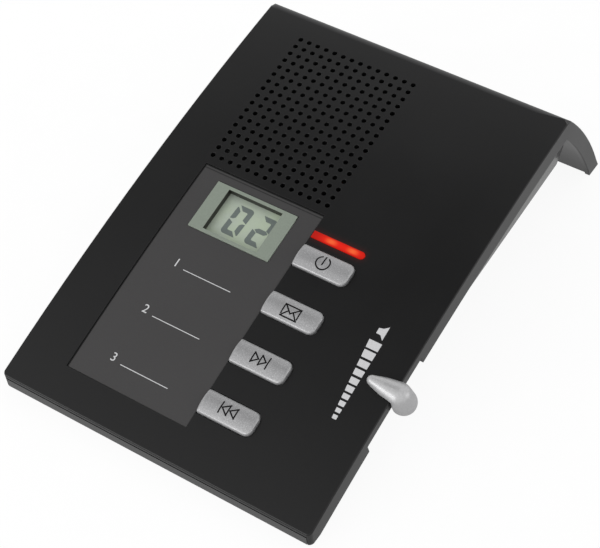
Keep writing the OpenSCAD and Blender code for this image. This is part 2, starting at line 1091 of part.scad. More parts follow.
module microphone() {
    color(steel)
    on_deck(mic_d)
        translate([mic_x, 0, -deck_wall - 1 - mic_h])
            cylinder(r = mic_r, h = mic_h);
}

module microphone_boot() {
    color([0.15, 0.15, 0.15])
    on_deck(mic_d)
        translate([mic_x, 0, -deck_wall - 1.6 - mic_h])
            difference() {
                cylinder(r = mic_r + 1.4, h = mic_h + 1.5);
                translate([0, 0, 0.6])
                    cylinder(r = mic_r, h = mic_h + 2);
                translate([0, 0, -1])
                    cylinder(r = mic_r - 1.5, h = 3);
            }
}

module main_board() {
    color(board_green)
    on_board(board_d)
        difference() {
            translate([board_x0, board_front_d - board_d, -board_t])
                cube([board_x1 - board_x0, board_rear_d - board_front_d, board_t]);
            for (p = board_holes)
                translate([p[0], (deck_r - board_depth) * tan((p[1] - board_d) / deck_r * 180 / PI), -5])
                    cylinder(r = 1.2, h = 10, $fn = 24);
        }
}

// A flat package with legs down both long sides
module chip(w, l, h, legs) {
    translate([0, 0, 0.3])
        block(w, l, h);
    for (i = [0:legs - 1], s = [-1, 1])
        translate([s * (w / 2 + 0.5), (i - (legs - 1) / 2) * 1.27, 0])
            block(1.6, 0.45, 0.5);
}

module processor_chip() {
    color([0.1, 0.1, 0.1])
    on_board(52)
        translate([-22, 0, 0])
            chip(9, 18, 2.2, 14);
}

module memory_chip() {
    color([0.1, 0.1, 0.1])
    on_board(48)
        translate([-44, 0, 0])
            chip(7.5, 15, 2.1, 12);
}

module clock_crystal() {
    color(steel)
    on_board(38)
        translate([-8, 0, 0])
            hull()
                for (s = [-1, 1])
                    translate([s * 3.4, 0, 0])
                        cylinder(r = 2.2, h = 3);
}

module line_board() {
    color(board_green)
    on_tray()
        difference() {
            translate([line_x0, line_v0, line_rise])
                cube([line_x1 - line_x0, line_v1 - line_v0, line_t]);
            for (p = line_holes)
                translate([p[0], p[1], line_rise - 1])
                    cylinder(r = 1.2, h = line_t + 2, $fn = 24);
        }
}

module line_board_screws() {
    color(steel)
    on_tray()
        for (p = line_holes)
            translate([p[0], p[1], line_rise + line_t])
                mirror([0, 0, 1])
                    pan_screw(line_t + 2, head_r);
}

module on_line_board(x, v) {
    on_tray()
        translate([x, v, line_rise + line_t])
            children();
}

module line_transformer() {
    color([0.25, 0.22, 0.1])
    on_line_board(38, 150)
        union() {
            block(16, 12, 11);
            translate([0, 0, 2])
                block(12, 16, 7);
        }
}

module capacitors() {
    color([0.15, 0.18, 0.3])
    for (p = [[17.5, 148, 4], [25.5, 143, 3.2], [25.5, 152, 3.2]])
        on_line_board(p[0], p[1])
            difference() {
                cylinder(r = p[2], h = 9 + p[2]);
                translate([0, 0, 8.7 + p[2]])
                    for (a = [0, 90])
                        rotate([0, 0, a])
                            block(0.4, 1.4 * p[2], 1);
            }
}

// A telephone line socket with four sprung contacts, open at the underside
module line_socket() {
    mouth_w = 9.8;
    mouth_l = 6.6;
    color([0.14, 0.14, 0.14])
    on_tray()
        translate([socket_x, socket_v, 0])
            difference() {
                translate([0, 0, socket_low])
                    block(socket_w, socket_w, line_rise - socket_low);
                translate([0, 0, -1])
                    block(mouth_w, mouth_l, 12);
                translate([0, -mouth_l / 2 - 0.8, -1])
                    block(3.4, 2, 7);
            }
    color([0.85, 0.7, 0.3])
    on_tray()
        for (i = [0:3])
            translate([socket_x + (i - 1.5) * 1.02, socket_v + mouth_l / 2 - 0.1, 3])
                block(0.4, 0.8, 7);
}

// A round power inlet with its centre pin, open at the underside
module power_socket() {
    color([0.14, 0.14, 0.14])
    on_tray()
        translate([power_x, socket_v, 0])
            difference() {
                translate([0, 0, socket_low])
                    block(power_w, power_l, line_rise - socket_low);
                translate([0, 0, -1])
                    difference() {
                        cylinder(r = power_r, h = 10.5);
                        translate([0, 0, 2.5])
                            cylinder(r = 1, h = 10);
                    }
            }
}

// Flat cable from the main board's rear edge down to the line board
module ribbon_cable() {
    w = 12;
    color([0.6, 0.6, 0.62])
    translate([case_x + 20, 0, 0])
        rotate([90, 0, 90])
            linear_extrude(w)
                polygon(ribbon_outline());
}

function board_point(d, z) =
    let (v = (deck_r - board_depth) * tan((d - board_d) / deck_r * 180 / PI), s = slope_at(board_d))
    [arch_y - (deck_r - board_depth + z) * sin(s) + v * cos(s),
        arch_z + (deck_r - board_depth + z) * cos(s) + v * sin(s)];

function tray_point(v, h) =
    [tray_front_y + v * cos(tray_slope) - h * sin(tray_slope),
        sole_h + v * sin(tray_slope) + h * cos(tray_slope)];

function ribbon_outline() =
    let (d = board_rear_d - 3, v = line_v0 + 3, top = line_rise + line_t, t = 0.8)
    [board_point(d, -board_t - t), board_point(d, -board_t), board_point(d + 4.5, -board_t),
        tray_point(v - 4.5, top + t), tray_point(v, top + t), tray_point(v, top),
        tray_point(v - 4.5, top), board_point(d + 4.5, -board_t - t)];

// A flat two-core lead from the loudspeaker's basket to the underside of the main board
module speaker_lead() {
    r = 20.4;
    out = 28;
    back = speaker_d - board_rear_d + 6;
    color([0.7, 0.1, 0.1])
    on_deck(speaker_d)
        translate([speaker_x, 0, -9.9])
            linear_extrude(1.1) {
                translate([r, -1.1])
                    square([out - r, 2.2]);
                translate([out - 2.2, -back])
                    square([2.2, back]);
            }
}

top_shell();
leg_panel();
base_tray();
label_card();
display_frame();
display_glass();
display_connectors();
key_power();
key_message();
key_next();
key_previous();
plunger_power();
plunger_message();
plunger_next();
plunger_previous();
key_switches();
light_bar();
indicator_leds();
volume_knob();
slider_lever();
slide_control();
speaker_cloth();
speaker_gasket();
speaker_frame();
speaker_cone();
speaker_magnet();
speaker_screws();
speaker_lead();
microphone();
microphone_boot();
main_board();
board_screws();
processor_chip();
memory_chip();
clock_crystal();
line_board();
line_board_screws();
line_transformer();
capacitors();
line_socket();
power_socket();
ribbon_cable();
front_feet();
leg_feet();
case_screws();
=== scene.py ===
"""Desk answering machine: the looks of its case, label, display, keys, slider and inner parts.

Everything is in metres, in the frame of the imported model. Each group of pieces has its own
operator, and the stage has one. Run as a script, the file makes all of them in order.
"""

import math

import bmesh
import bpy
from bpy.props import BoolProperty, FloatProperty, FloatVectorProperty, IntProperty, PointerProperty
from mathutils import Matrix, Vector


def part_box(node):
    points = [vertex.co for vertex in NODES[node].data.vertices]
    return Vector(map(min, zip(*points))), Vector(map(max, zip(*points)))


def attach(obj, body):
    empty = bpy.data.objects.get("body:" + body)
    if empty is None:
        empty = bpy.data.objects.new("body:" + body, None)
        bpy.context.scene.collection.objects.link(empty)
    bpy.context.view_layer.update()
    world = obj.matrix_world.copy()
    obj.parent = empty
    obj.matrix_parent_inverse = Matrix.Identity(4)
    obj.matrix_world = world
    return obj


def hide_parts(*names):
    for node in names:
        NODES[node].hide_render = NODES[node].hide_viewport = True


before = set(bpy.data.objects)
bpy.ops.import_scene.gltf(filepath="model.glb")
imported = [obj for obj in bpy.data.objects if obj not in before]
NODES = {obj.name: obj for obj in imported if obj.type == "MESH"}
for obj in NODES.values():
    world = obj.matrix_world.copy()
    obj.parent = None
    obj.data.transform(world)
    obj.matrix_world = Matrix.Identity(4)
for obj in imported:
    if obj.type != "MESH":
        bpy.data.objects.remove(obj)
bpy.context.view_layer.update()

bl_info = {
    "name": "Desk answering machine",
    "version": (1, 0, 0),
    "blender": (4, 5, 0),
    "location": "View3D > Sidebar > Answering machine",
    "description": "Dresses the packed answering machine and sets up its studio",
    "category": "Object",
}

MM = 0.001

# The case: the deck is part of a cylinder along X, and so is the back of the leg
CASE_W = 134.8 * MM
CASE_X = -3.75 * MM
DECK_L = 190.5 * MM
DECK_R = 924 * MM
FRONT_SLOPE = math.radians(19.87)
FRONT_H = 7.1 * MM
FRONT_LEAN = math.radians(5.5)
LEG_REACH = 35.5 * MM
LEG_R = 200 * MM
LEG_DEPTH = 7 * MM
SOLE_H = 0.3 * MM
REAR_SLOPE = FRONT_SLOPE - DECK_L / DECK_R
DECK_RUN = DECK_R * (math.sin(FRONT_SLOPE) - math.sin(REAR_SLOPE))
FRONT_Y = -(DECK_RUN + LEG_REACH) / 2
REAR_Y = FRONT_Y + DECK_RUN
REAR_Z = FRONT_H + DECK_R * (math.cos(REAR_SLOPE) - math.cos(FRONT_SLOPE))
ARCH_Y = FRONT_Y + DECK_R * math.sin(FRONT_SLOPE)
ARCH_Z = FRONT_H - DECK_R * math.cos(FRONT_SLOPE)
LEG_DROP = REAR_Z - SOLE_H
LEG_CHORD = math.hypot(LEG_REACH, LEG_DROP)
LEG_RISE = math.sqrt(LEG_R * LEG_R - LEG_CHORD * LEG_CHORD / 4)
LEG_Y = REAR_Y + LEG_REACH / 2 - LEG_RISE * LEG_DROP / LEG_CHORD
LEG_Z = REAR_Z - LEG_DROP / 2 - LEG_RISE * LEG_REACH / LEG_CHORD
TRAY_SLOPE = math.radians(5.67)
TRAY_FRONT_Y = FRONT_Y + (FRONT_H - SOLE_H) * math.tan(FRONT_LEAN)

# The display and its two digits
DISPLAY_X = -19.7 * MM
DISPLAY_D = 94.3 * MM
GLASS_DEPTH = 3 * MM
DIGIT_W = 7.25 * MM
DIGIT_H = 13.5 * MM
DIGIT_STROKE = 2.1 * MM
DIGIT_LEAN = math.radians(3.5)
DIGIT_PLACES = (-26.8 * MM, -16.15 * MM)
DIGIT_FOOT_D = 87.65 * MM

# The keys
KEY_L = 22.8 * MM
KEY_W = 9.9 * MM
KEY_RISE = 1.85 * MM
KEY_CROWN = 1.15 * MM
KEY_TOP_R = (KEY_W * KEY_W / 4 + KEY_CROWN * KEY_CROWN) / (2 * KEY_CROWN)
KEY_MID_X = 18.4 * MM
KEY_FRONT_D = 25.45 * MM
KEY_PITCH = 21.95 * MM
KEY_SKIRT = 2.6 * MM
KEY_CORNER_R, KEY_LEFT_R = 3 * MM, 0.7 * MM
KEY_FLANGE = 1.2 * MM
KEY_FLANGE_LOW, KEY_FLANGE_HIGH = -3 * MM, -2.2 * MM
KEY_STEM_R = 2.2 * MM
KEYS = (("key_power", "power_key", 3), ("key_message", "message_key", 2),
        ("key_next", "next_key", 1), ("key_previous", "previous_key", 0))
BOARD_D = 60 * MM
BOARD_DEPTH = 7 * MM
PLUNGER_TOP = 2.7 * MM

# The light bar and the two lamps under it
BAR_X = 7.3 * MM
BAR_L = 22.4 * MM
BAR_D = 101.3 * MM
LAMP_XS = (15.4 * MM, 24.6 * MM)

# The printed marks on the deck: each volume bar's rear and front end behind the front edge
VOLUME_BARS = ((73.2, 69.84), (69.0, 65.88), (64.92, 62.16), (61.16, 58.6), (57.6, 55.12),
               (54.24, 51.84), (50.96, 48.92), (48.0, 46.0), (45.08, 43.36), (42.4, 40.72))
VOLUME_RIGHT = 53.72
VOLUME_LEFT = ((73.2, 48.45), (40.72, 52.0))
HORN = ((49.36, 78.52), (51.2, 78.95), (52.8, 80.4), (52.9, 74.45), (51.24, 76.2), (49.42, 76.24))
LABEL_X = -46.6 * MM
LABEL_D = 14 * MM
LABEL_L = 96 * MM
LABEL_SINK = 0.3 * MM
INDEX_LINES = ((1, 68.0), (2, 46.6), (3, 24.9))
INDEX_H = 3.4 * MM
INDEX_X = -32.4 * MM
WRITE_ON_LEFT, WRITE_ON_RIGHT = -28.6 * MM, -7.4 * MM
WRITE_ON_FRONT, WRITE_ON_REAR = 1.7, 1.4
MARK_CORNER_R = 0.14 * MM

# Shading tests: how near a point lies to a curved face to be on it, and how near to an outer edge
ON_FACE = 0.004 * MM
ON_EDGE = 0.005 * MM
NEAR_EDGE = 0.9 * MM

# The telephone socket's sprung contacts, on the tray's floor
CONTACT_X = 22
CONTACT_PITCH = 1.02
CONTACT_V = 172.9 * MM
CONTACT_H = 3.1 * MM
CONTACT_L = 6.6 * MM
CONTACT_LEAN = math.radians(12)

# The studio: its lights, its dark patch overhead and its camera
LIT_SPOT = (0, 0, 0.03)
FRONT_BOX = ((-0.55, -1.3, 0.5), LIT_SPOT, 1.3, 0.8)
SIDE_BOX = ((1.3, 0.5, 0.35), LIT_SPOT, 0.7, 0.5)
SIDE_SHARE = 0.2
SKY_PATCH = Vector((-0.28, 0.17, 0.94)).normalized()
SKY_PATCH_CORE, SKY_PATCH_RIM = math.radians(6), math.radians(27)
CAMERA_SPOT = (0.248945, -0.382912, 0.50710)
CAMERA_RIGHT = Vector((0.84006, 0.54204, -0.02221))
CAMERA_DOWN = Vector((0.39053, -0.63265, -0.66876))
CAMERA_AHEAD = Vector((-0.37654, 0.55313, -0.74315))


# ---------------------------------------------------------------- settings

class CaseLooks(bpy.types.PropertyGroup):
    shell_color: FloatVectorProperty(
        name="Shell colour", description="Colour of the moulded black case",
        subtype="COLOR", size=4, min=0, max=1, default=(0.005, 0.005, 0.0052, 1))
    shell_roughness: FloatProperty(
        name="Shell roughness", description="Roughness of the case's satin surface",
        subtype="FACTOR", min=0, max=1, default=0.3)
    edge_radius: FloatProperty(
        name="Edge radius", description="Rounding of the deck's front and side edges",
        subtype="DISTANCE", unit="LENGTH", min=0.0001, max=0.0012, default=0.0005)
    rear_reach: FloatProperty(
        name="Rear rounding",
        description="How far the rounding of the rear edge reaches onto the deck",
        subtype="DISTANCE", unit="LENGTH", min=0.0002, max=0.004, default=0.0025)
    rim_radius: FloatProperty(
        name="Hole rim radius", description="Rounding of the rims of the grille's holes",
        subtype="DISTANCE", unit="LENGTH", min=0.00005, max=0.0003, default=0.00018)


class LabelLooks(bpy.types.PropertyGroup):
    film_color: FloatVectorProperty(
        name="Label colour", description="Colour of the printed graphite film",
        subtype="COLOR", size=4, min=0, max=1, default=(0.0305, 0.0293, 0.0298, 1))
    ink_color: FloatVectorProperty(
        name="Ink colour", description="Colour of the pale ink on the label and the deck",
        subtype="COLOR", size=4, min=0, max=1, default=(0.53, 0.53, 0.54, 1))
    show_index: BoolProperty(
        name="Index lines", description="Print plain numbers and write-on lines on the label",
        default=True)


class DisplayLooks(bpy.types.PropertyGroup):
    count: IntProperty(
        name="Number shown", description="The two-digit number that the display shows",
        min=0, max=99, default=2)
    surround_color: FloatVectorProperty(
        name="Surround colour", description="Colour of the display's surround",
        subtype="COLOR", size=4, min=0, max=1, default=(0.2, 0.232, 0.192, 1))
    face_color: FloatVectorProperty(
        name="Face colour", description="Colour of the display's pale face",
        subtype="COLOR", size=4, min=0, max=1, default=(0.37, 0.42, 0.355, 1))
    digit_color: FloatVectorProperty(
        name="Digit colour", description="Colour of the display's digits",
        subtype="COLOR", size=4, min=0, max=1, default=(0.12, 0.145, 0.135, 1))


class KeyLooks(bpy.types.PropertyGroup):
    silver_color: FloatVectorProperty(
        name="Silver colour", description="Colour of the silver paint on the keys",
        subtype="COLOR", size=4, min=0, max=1, default=(0.315, 0.315, 0.32, 1))
    knob_color: FloatVectorProperty(
        name="Knob colour", description="Colour of the lighter silver paint on the knob",
        subtype="COLOR", size=4, min=0, max=1, default=(0.43, 0.43, 0.435, 1))
    edge_radius: FloatProperty(
        name="Key edge radius", description="Rounding of the keys' upper edges",
        subtype="DISTANCE", unit="LENGTH", min=0.0003, max=0.0012, default=0.0008)
    stroke: FloatProperty(
        name="Symbol stroke", description="Width of the lines of the symbols on the keys",
        subtype="DISTANCE", unit="LENGTH", min=0.0002, max=0.0007, default=0.00056)


class LampLooks(bpy.types.PropertyGroup):
    glow_color: FloatVectorProperty(
        name="Glow colour", description="Colour of the lit bar between its lamps",
        subtype="COLOR", size=4, min=0, max=1, default=(0.62, 0.012, 0.004, 1))
    lamp_color: FloatVectorProperty(
        name="Lamp colour", description="Colour of the bar right over a lamp",
        subtype="COLOR", size=4, min=0, max=1, default=(0.76, 0.12, 0.03, 1))
    # Painted glow: how strongly the shell itself emits red round the bar
    spill: FloatProperty(
        name="Spill", description="Strength of the red glow on the deck round the bar",
        min=0, max=1, default=0.06)


class StudioLooks(bpy.types.PropertyGroup):
    focal_length: FloatProperty(
        name="Focal length", description="Focal length of the camera on a 36 mm sensor",
        subtype="DISTANCE_CAMERA", unit="CAMERA", min=50, max=200, default=104.69)
    floor_glow: FloatProperty(
        name="Floor brightness", description="Light that the pale floor gives by itself",
        min=0, max=3, default=0.92)
    floor_return: FloatProperty(
        name="Floor return", description="Share of the floor's light that reaches the machine",
        subtype="FACTOR", min=0, max=1, default=0.58)
    softbox_power: FloatProperty(
        name="Softbox power", description="Power of the large softbox in front",
        subtype="POWER", unit="POWER", min=0, max=200, default=8)


# ---------------------------------------------------------------- places on the machine

def deck_slope(d):
    """The deck's slope at a distance behind its front edge."""
    return FRONT_SLOPE - d / DECK_R


def deck_place(d, x=0.0, lift=0.0):
    """A frame on the deck: z leaves it at a right angle and y runs to the rear."""
    return (Matrix.Translation((CASE_X, ARCH_Y, ARCH_Z)) @ Matrix.Rotation(deck_slope(d), 4, "X")
            @ Matrix.Translation((x, 0, DECK_R + lift)))


def tray_place(x, v, h):
    """A frame on the tray's floor: y runs up the slope and z leaves the floor."""
    return (Matrix.Translation((CASE_X, TRAY_FRONT_Y, SOLE_H)) @ Matrix.Rotation(TRAY_SLOPE, 4, "X")
            @ Matrix.Translation((x, v, h)))


def bend_onto_deck(bm):
    """Moves flat vertices (across, behind the front edge, lift) onto the arched deck."""
    for vert in bm.verts:
        x, d, lift = vert.co
        turn = deck_slope(d)
        reach = DECK_R + lift
        vert.co = (CASE_X + x, ARCH_Y - reach * math.sin(turn), ARCH_Z + reach * math.cos(turn))


def above_deck(co):
    """How far a point lies above the deck's surface."""
    return math.hypot(co.y - ARCH_Y, co.z - ARCH_Z) - DECK_R


def behind_edge(co):
    """How far a point lies behind the deck's front edge, along the deck."""
    return (FRONT_SLOPE - math.atan2(ARCH_Y - co.y, co.z - ARCH_Z)) * DECK_R


def behind_leg(co):
    """How far a point lies outside the leg's curved back."""
    return math.hypot(co.y - LEG_Y, co.z - LEG_Z) - LEG_R


# ---------------------------------------------------------------- mesh helpers

def new_piece(name, bm, body, finish, smooth=35):
    """Makes an object of a bmesh, smooth up to an angle in degrees, and lets it ride on a body."""
    mesh = bpy.data.meshes.new(name)
    bm.to_mesh(mesh)
    bm.free()
    mesh.materials.append(finish)
    mesh.shade_smooth()
    mesh.set_sharp_from_angle(angle=math.radians(smooth))
    piece = bpy.data.objects.new(name, mesh)
    bpy.context.scene.collection.objects.link(piece)
    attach(piece, body)
    return piece


def merged_copy(node):
    """A bmesh of a CAD node with its triangles joined and its flat faces made whole."""
    bm = bmesh.new()
    bm.from_mesh(NODES[node].data)
    bmesh.ops.remove_doubles(bm, verts=bm.verts, dist=0.002 * MM)
    bmesh.ops.dissolve_limit(bm, angle_limit=math.radians(0.05), verts=bm.verts, edges=bm.edges)
    return bm


def tidy_faces(bm):
    bmesh.ops.remove_doubles(bm, verts=bm.verts, dist=0.001 * MM)
    bmesh.ops.recalc_face_normals(bm, faces=bm.faces)


def round_off(bm, edges, radius, segments, **more):
    """Rounds edges of a bmesh and gives the faces that this makes."""
    return bmesh.ops.bevel(bm, geom=edges, offset=radius, affect="EDGES", segments=segments,
                           profile=0.5, material=-1, **more)["faces"]


def upright_edges(bm, least):
    """The edges whose ends differ in height by more than a given amount."""
    return [e for e in bm.edges if abs(e.verts[0].co.z - e.verts[1].co.z) > least]


def add_plate(bm, outline, low, high):
    """A flat plate with the given outline between two heights."""
    verts = [bm.verts.new((x, y, low)) for x, y in outline]
    face = bm.faces.new(verts)
    grown = bmesh.ops.extrude_face_region(bm, geom=[face])
    top = [item for item in grown["geom"] if isinstance(item, bmesh.types.BMVert)]
    bmesh.ops.translate(bm, verts=top, vec=(0, 0, high - low))


def add_box(bm, low, high, place=Matrix.Identity(4), edge=0.0, segments=2):
    """A block between two corners, with its edges rounded where a radius is given."""
    size = Vector(high) - Vector(low)
    middle = (Vector(high) + Vector(low)) / 2
    made = bmesh.ops.create_cube(bm, size=1, matrix=place @ Matrix.Translation(middle)
                                 @ Matrix.Diagonal((*size, 1)))
    if edge:
        edges = list({e for v in made["verts"] for e in v.link_edges})
        round_off(bm, edges, edge, segments)


def add_stroke(bm, start, end, width, low, high):
    """A straight line of a symbol, square at its ends and a half width longer at each."""
    start, end = Vector(start), Vector(end)
    along = (end - start).normalized() * width / 2
    side = Vector((-along.y, along.x))
    outline = [start - along - side, end + along - side, end + along + side, start - along + side]
    add_plate(bm, [tuple(p) for p in outline], low, high)


def add_arc(bm, middle, radius, width, first, last, low, high, steps=40):
    """A curved line of a symbol, from one angle to another, in degrees."""
    inner, outer = [], []
    for i in range(steps + 1):
        turn = math.radians(first + (last - first) * i / steps)
        way = Vector((math.cos(turn), math.sin(turn)))
        inner.append(tuple(Vector(middle) + way * (radius - width / 2)))
        outer.append(tuple(Vector(middle) + way * (radius + width / 2)))
    for i in range(steps):
        add_plate(bm, [inner[i], outer[i], outer[i + 1], inner[i + 1]], low, high)


def soften_node(node, finish, edge=0.0, segments=2, angle=40):
    """Keeps a CAD node, gives it its finish and rounds its edges with live modifiers."""
    piece = NODES[node]
    piece.data.materials.clear()
    piece.data.materials.append(finish)
    if edge:
        weld = piece.modifiers.new("Join triangles", "WELD")
        weld.merge_threshold = 0.002 * MM
        bevel = piece.modifiers.new("Moulded edges", "BEVEL")
        bevel.width = edge
        bevel.segments = segments
        bevel.limit_method = "ANGLE"
        bevel.angle_limit = math.radians(angle)
        bevel.harden_normals = False
        even_shading(piece)


def even_shading(piece):
    normals = piece.modifiers.new("Even shading", "WEIGHTED_NORMAL")
    normals.keep_sharp = True


def soften_nodes(*rows):
    """Softens several nodes: each row is a node, its finish and its rounding in mm, if any."""
    for node, finish, *edge in rows:
        soften_node(node, look(finish), edge=edge[0] * MM if edge else 0.0)


# ---------------------------------------------------------------- shader helpers

def shade(tree, kind, settings=None, inputs=None):
    """Adds a shader node, sets its options, and sets or links its inputs."""
    item = tree.nodes.new("ShaderNode" + kind)
    for key, value in (settings or {}).items():
        setattr(item, key, value)
    for key, value in (inputs or {}).items():
        if isinstance(value, bpy.types.NodeSocket):
            tree.links.new(value, item.inputs[key])
        else:
            item.inputs[key].default_value = value
    return item


def sum_of(tree, operation, first, second=0.0):
    """The output of a math node."""
    return shade(tree, "Math", {"operation": operation}, {0: first, 1: second}).outputs[0]


def span(tree, value, low, high, to_low=0.0, to_high=1.0, smooth=False):
    """Maps a value from one range to another and holds it there."""
    kind = "SMOOTHSTEP" if smooth else "LINEAR"
    return shade(tree, "MapRange", {"interpolation_type": kind}, {
        "Value": value, "From Min": low, "From Max": high, "To Min": to_low, "To Max": to_high,
    }).outputs["Result"]


def ripple(tree, value, pitch):
    """A wave between -1 and 1 along a value."""
    return sum_of(tree, "SINE", sum_of(tree, "MULTIPLY", value, math.tau / pitch))


def blend_colors(tree, factor, first, second):
    mix = shade(tree, "Mix", {"data_type": "RGBA"})
    for socket, value in ((mix.inputs[0], factor), (mix.inputs[6], first), (mix.inputs[7], second)):
        if isinstance(value, bpy.types.NodeSocket):
            tree.links.new(value, socket)
        else:
            socket.default_value = value
    return mix.outputs[2]


def new_group(name, takes, gives):
    """An empty shader group with named sockets, and its input and output nodes."""
    group = bpy.data.node_groups.new(name, "ShaderNodeTree")
    for socket, kind, value in takes:
        made = group.interface.new_socket(name=socket, in_out="INPUT", socket_type=kind)
        if value is not None:
            made.default_value = value
    for socket in gives:
        group.interface.new_socket(name=socket, in_out="OUTPUT", socket_type="NodeSocketFloat")
    return group, group.nodes.new("NodeGroupInput"), group.nodes.new("NodeGroupOutput")


def moulded_grain_group():
    """The fine grain of a moulded or painted surface, with slow changes of sheen over it."""
    group, takes, gives = new_group(
        "moulded grain",
        (("Vector", "NodeSocketVector", None), ("Grain size", "NodeSocketFloat", 0.0004),
         ("Cloud size", "NodeSocketFloat", 0.02)),
        ("Grain", "Tone", "Cloud"))
    fine = sum_of(group, "DIVIDE", 1.0, takes.outputs["Grain size"])
    grain = shade(group, "TexNoise", inputs={
        "Vector": takes.outputs["Vector"], "Scale": fine, "Detail": 2.0, "Roughness": 0.55})
    coarse = sum_of(group, "MULTIPLY", fine, 0.31)
    tone = shade(group, "TexNoise", inputs={
        "Vector": takes.outputs["Vector"], "Scale": coarse, "Detail": 3.0, "Roughness": 0.6})
    slow = sum_of(group, "DIVIDE", 1.0, takes.outputs["Cloud size"])
    cloud = shade(group, "TexNoise", inputs={
        "Vector": takes.outputs["Vector"], "Scale": slow, "Detail": 3.0, "Roughness": 0.5})
    group.links.new(grain.outputs["Fac"], gives.inputs["Grain"])
    group.links.new(tone.outputs["Fac"], gives.inputs["Tone"])
    group.links.new(cloud.outputs["Fac"], gives.inputs["Cloud"])
    return group


def deck_measure_group():
    """Where a point lies on the deck: across it, behind its front edge and below its surface."""
    group, takes, gives = new_group(
        "deck measure", (("Vector", "NodeSocketVector", None),), ("Across", "Behind", "Depth"))
    parts = shade(group, "SeparateXYZ", inputs={0: takes.outputs["Vector"]})
    across = sum_of(group, "SUBTRACT", parts.outputs["X"], CASE_X)
    y = sum_of(group, "SUBTRACT", ARCH_Y, parts.outputs["Y"])
    z = sum_of(group, "SUBTRACT", parts.outputs["Z"], ARCH_Z)
    turn = sum_of(group, "ARCTAN2", y, z)
    behind = sum_of(group, "MULTIPLY", sum_of(group, "SUBTRACT", FRONT_SLOPE, turn), DECK_R)
    reach = sum_of(group, "SQRT", sum_of(group, "ADD", sum_of(group, "MULTIPLY", y, y),
                                         sum_of(group, "MULTIPLY", z, z)))
    depth = sum_of(group, "SUBTRACT", DECK_R, reach)
    group.links.new(across, gives.inputs["Across"])
    group.links.new(behind, gives.inputs["Behind"])
    group.links.new(depth, gives.inputs["Depth"])
    return group


def cross_weave_group():
    """Threads that pass over and under each other in two directions."""
    group, takes, gives = new_group(
        "cross weave",
        (("Vector", "NodeSocketVector", None), ("Pitch", "NodeSocketFloat", 0.0004)),
        ("Height", "Gap"))
    parts = shade(group, "SeparateXYZ", inputs={0: takes.outputs["Vector"]})
    turn = sum_of(group, "DIVIDE", math.pi, takes.outputs["Pitch"])
    warp = sum_of(group, "SINE", sum_of(group, "MULTIPLY", parts.outputs["X"], turn))
    weft = sum_of(group, "SINE", sum_of(group, "MULTIPLY", parts.outputs["Y"], turn))
    over = sum_of(group, "MULTIPLY", warp, weft)
    height = span(group, over, -1.0, 1.0)
    gap = span(group, sum_of(group, "ABSOLUTE", over), 0.0, 0.25, 1.0, 0.0)
    group.links.new(height, gives.inputs["Height"])
    group.links.new(gap, gives.inputs["Gap"])
    return group


def shader_group(name):
    """One of the shader groups, built once."""
    made = bpy.data.node_groups.get(name)
    if made is None:
        made = {"moulded grain": moulded_grain_group, "deck measure": deck_measure_group,
                "cross weave": cross_weave_group}[name]()
    return made


def place_group(tree, name, **inputs):
    item = tree.nodes.new("ShaderNodeGroup")
    item.node_tree = shader_group(name)
    for key, value in inputs.items():
        socket = item.inputs[key.replace("_", " ")]
        if isinstance(value, bpy.types.NodeSocket):
            tree.links.new(value, socket)
        else:
            socket.default_value = value
    return item


def darker(color, share):
    return (color[0] * share, color[1] * share, color[2] * share, 1)


def grained(name, color, roughness, grain=0.4, depth=0.02, contrast=0.12, sheen_shift=0.05,
            metallic=0.0, ior=1.5, cloud=20.0):
    """A solid finish with fine grain, an uneven tone and slow changes of sheen; sizes in mm."""
    finish = bpy.data.materials.new(name)
    finish.use_nodes = True
    tree = finish.node_tree
    shader = tree.nodes["Principled BSDF"]
    shader.inputs["Metallic"].default_value = metallic
    shader.inputs["IOR"].default_value = ior
    where = shade(tree, "TexCoord")
    where.name = "where"
    surface = place_group(tree, "moulded grain", Vector=where.outputs["Object"],
                          Grain_size=grain * MM, Cloud_size=cloud * MM)
    surface.name = "surface"
    tone = span(tree, surface.outputs["Tone"], 0.3, 0.7)
    base = blend_colors(tree, tone, darker(color, 1 - contrast), darker(color, 1 + contrast))
    tree.links.new(base, shader.inputs["Base Color"])
    rough = span(tree, surface.outputs["Cloud"], 0.3, 0.7, roughness - sheen_shift,
                 roughness + sheen_shift)
    tree.links.new(rough, shader.inputs["Roughness"])
    bump = shade(tree, "Bump", inputs={
        "Strength": 0.6, "Distance": depth * MM, "Height": surface.outputs["Grain"]})
    bump.name = "bump"
    tree.links.new(bump.outputs["Normal"], shader.inputs["Normal"])
    return finish


def on_object(finish):
    """The Object coordinates that a finish is laid out in."""
    return finish.node_tree.nodes["where"].outputs["Object"]


def deck_measure(finish):
    """Where a finish's points lie on the deck."""
    return place_group(finish.node_tree, "deck measure", Vector=on_object(finish)).outputs


def cell_tint(finish, size):
    """A random value for each cell of a pattern of small cells."""
    cells = shade(finish.node_tree, "TexVoronoi", inputs={
        "Vector": on_object(finish), "Scale": 1 / size})
    return shade(finish.node_tree, "SeparateColor", inputs={0: cells.outputs["Color"]}).outputs[0]


def repaint(finish, factor, second):
    """Lays a second colour over a finish's base colour where the factor is high."""
    tree = finish.node_tree
    socket = tree.nodes["Principled BSDF"].inputs["Base Color"]
    first = socket.links[0].from_socket
    tree.links.new(blend_colors(tree, factor, first, second), socket)


def look(name):
    """A finish by its name, made the first time it is asked for."""
    made = bpy.data.materials.get(name)
    if made is not None:
        return made
    if name in PLAIN_FINISHES:
        color, roughness, more = PLAIN_FINISHES[name]
        return grained(name, (*color, 1), roughness, **more)
    return FINISHES[name](name)


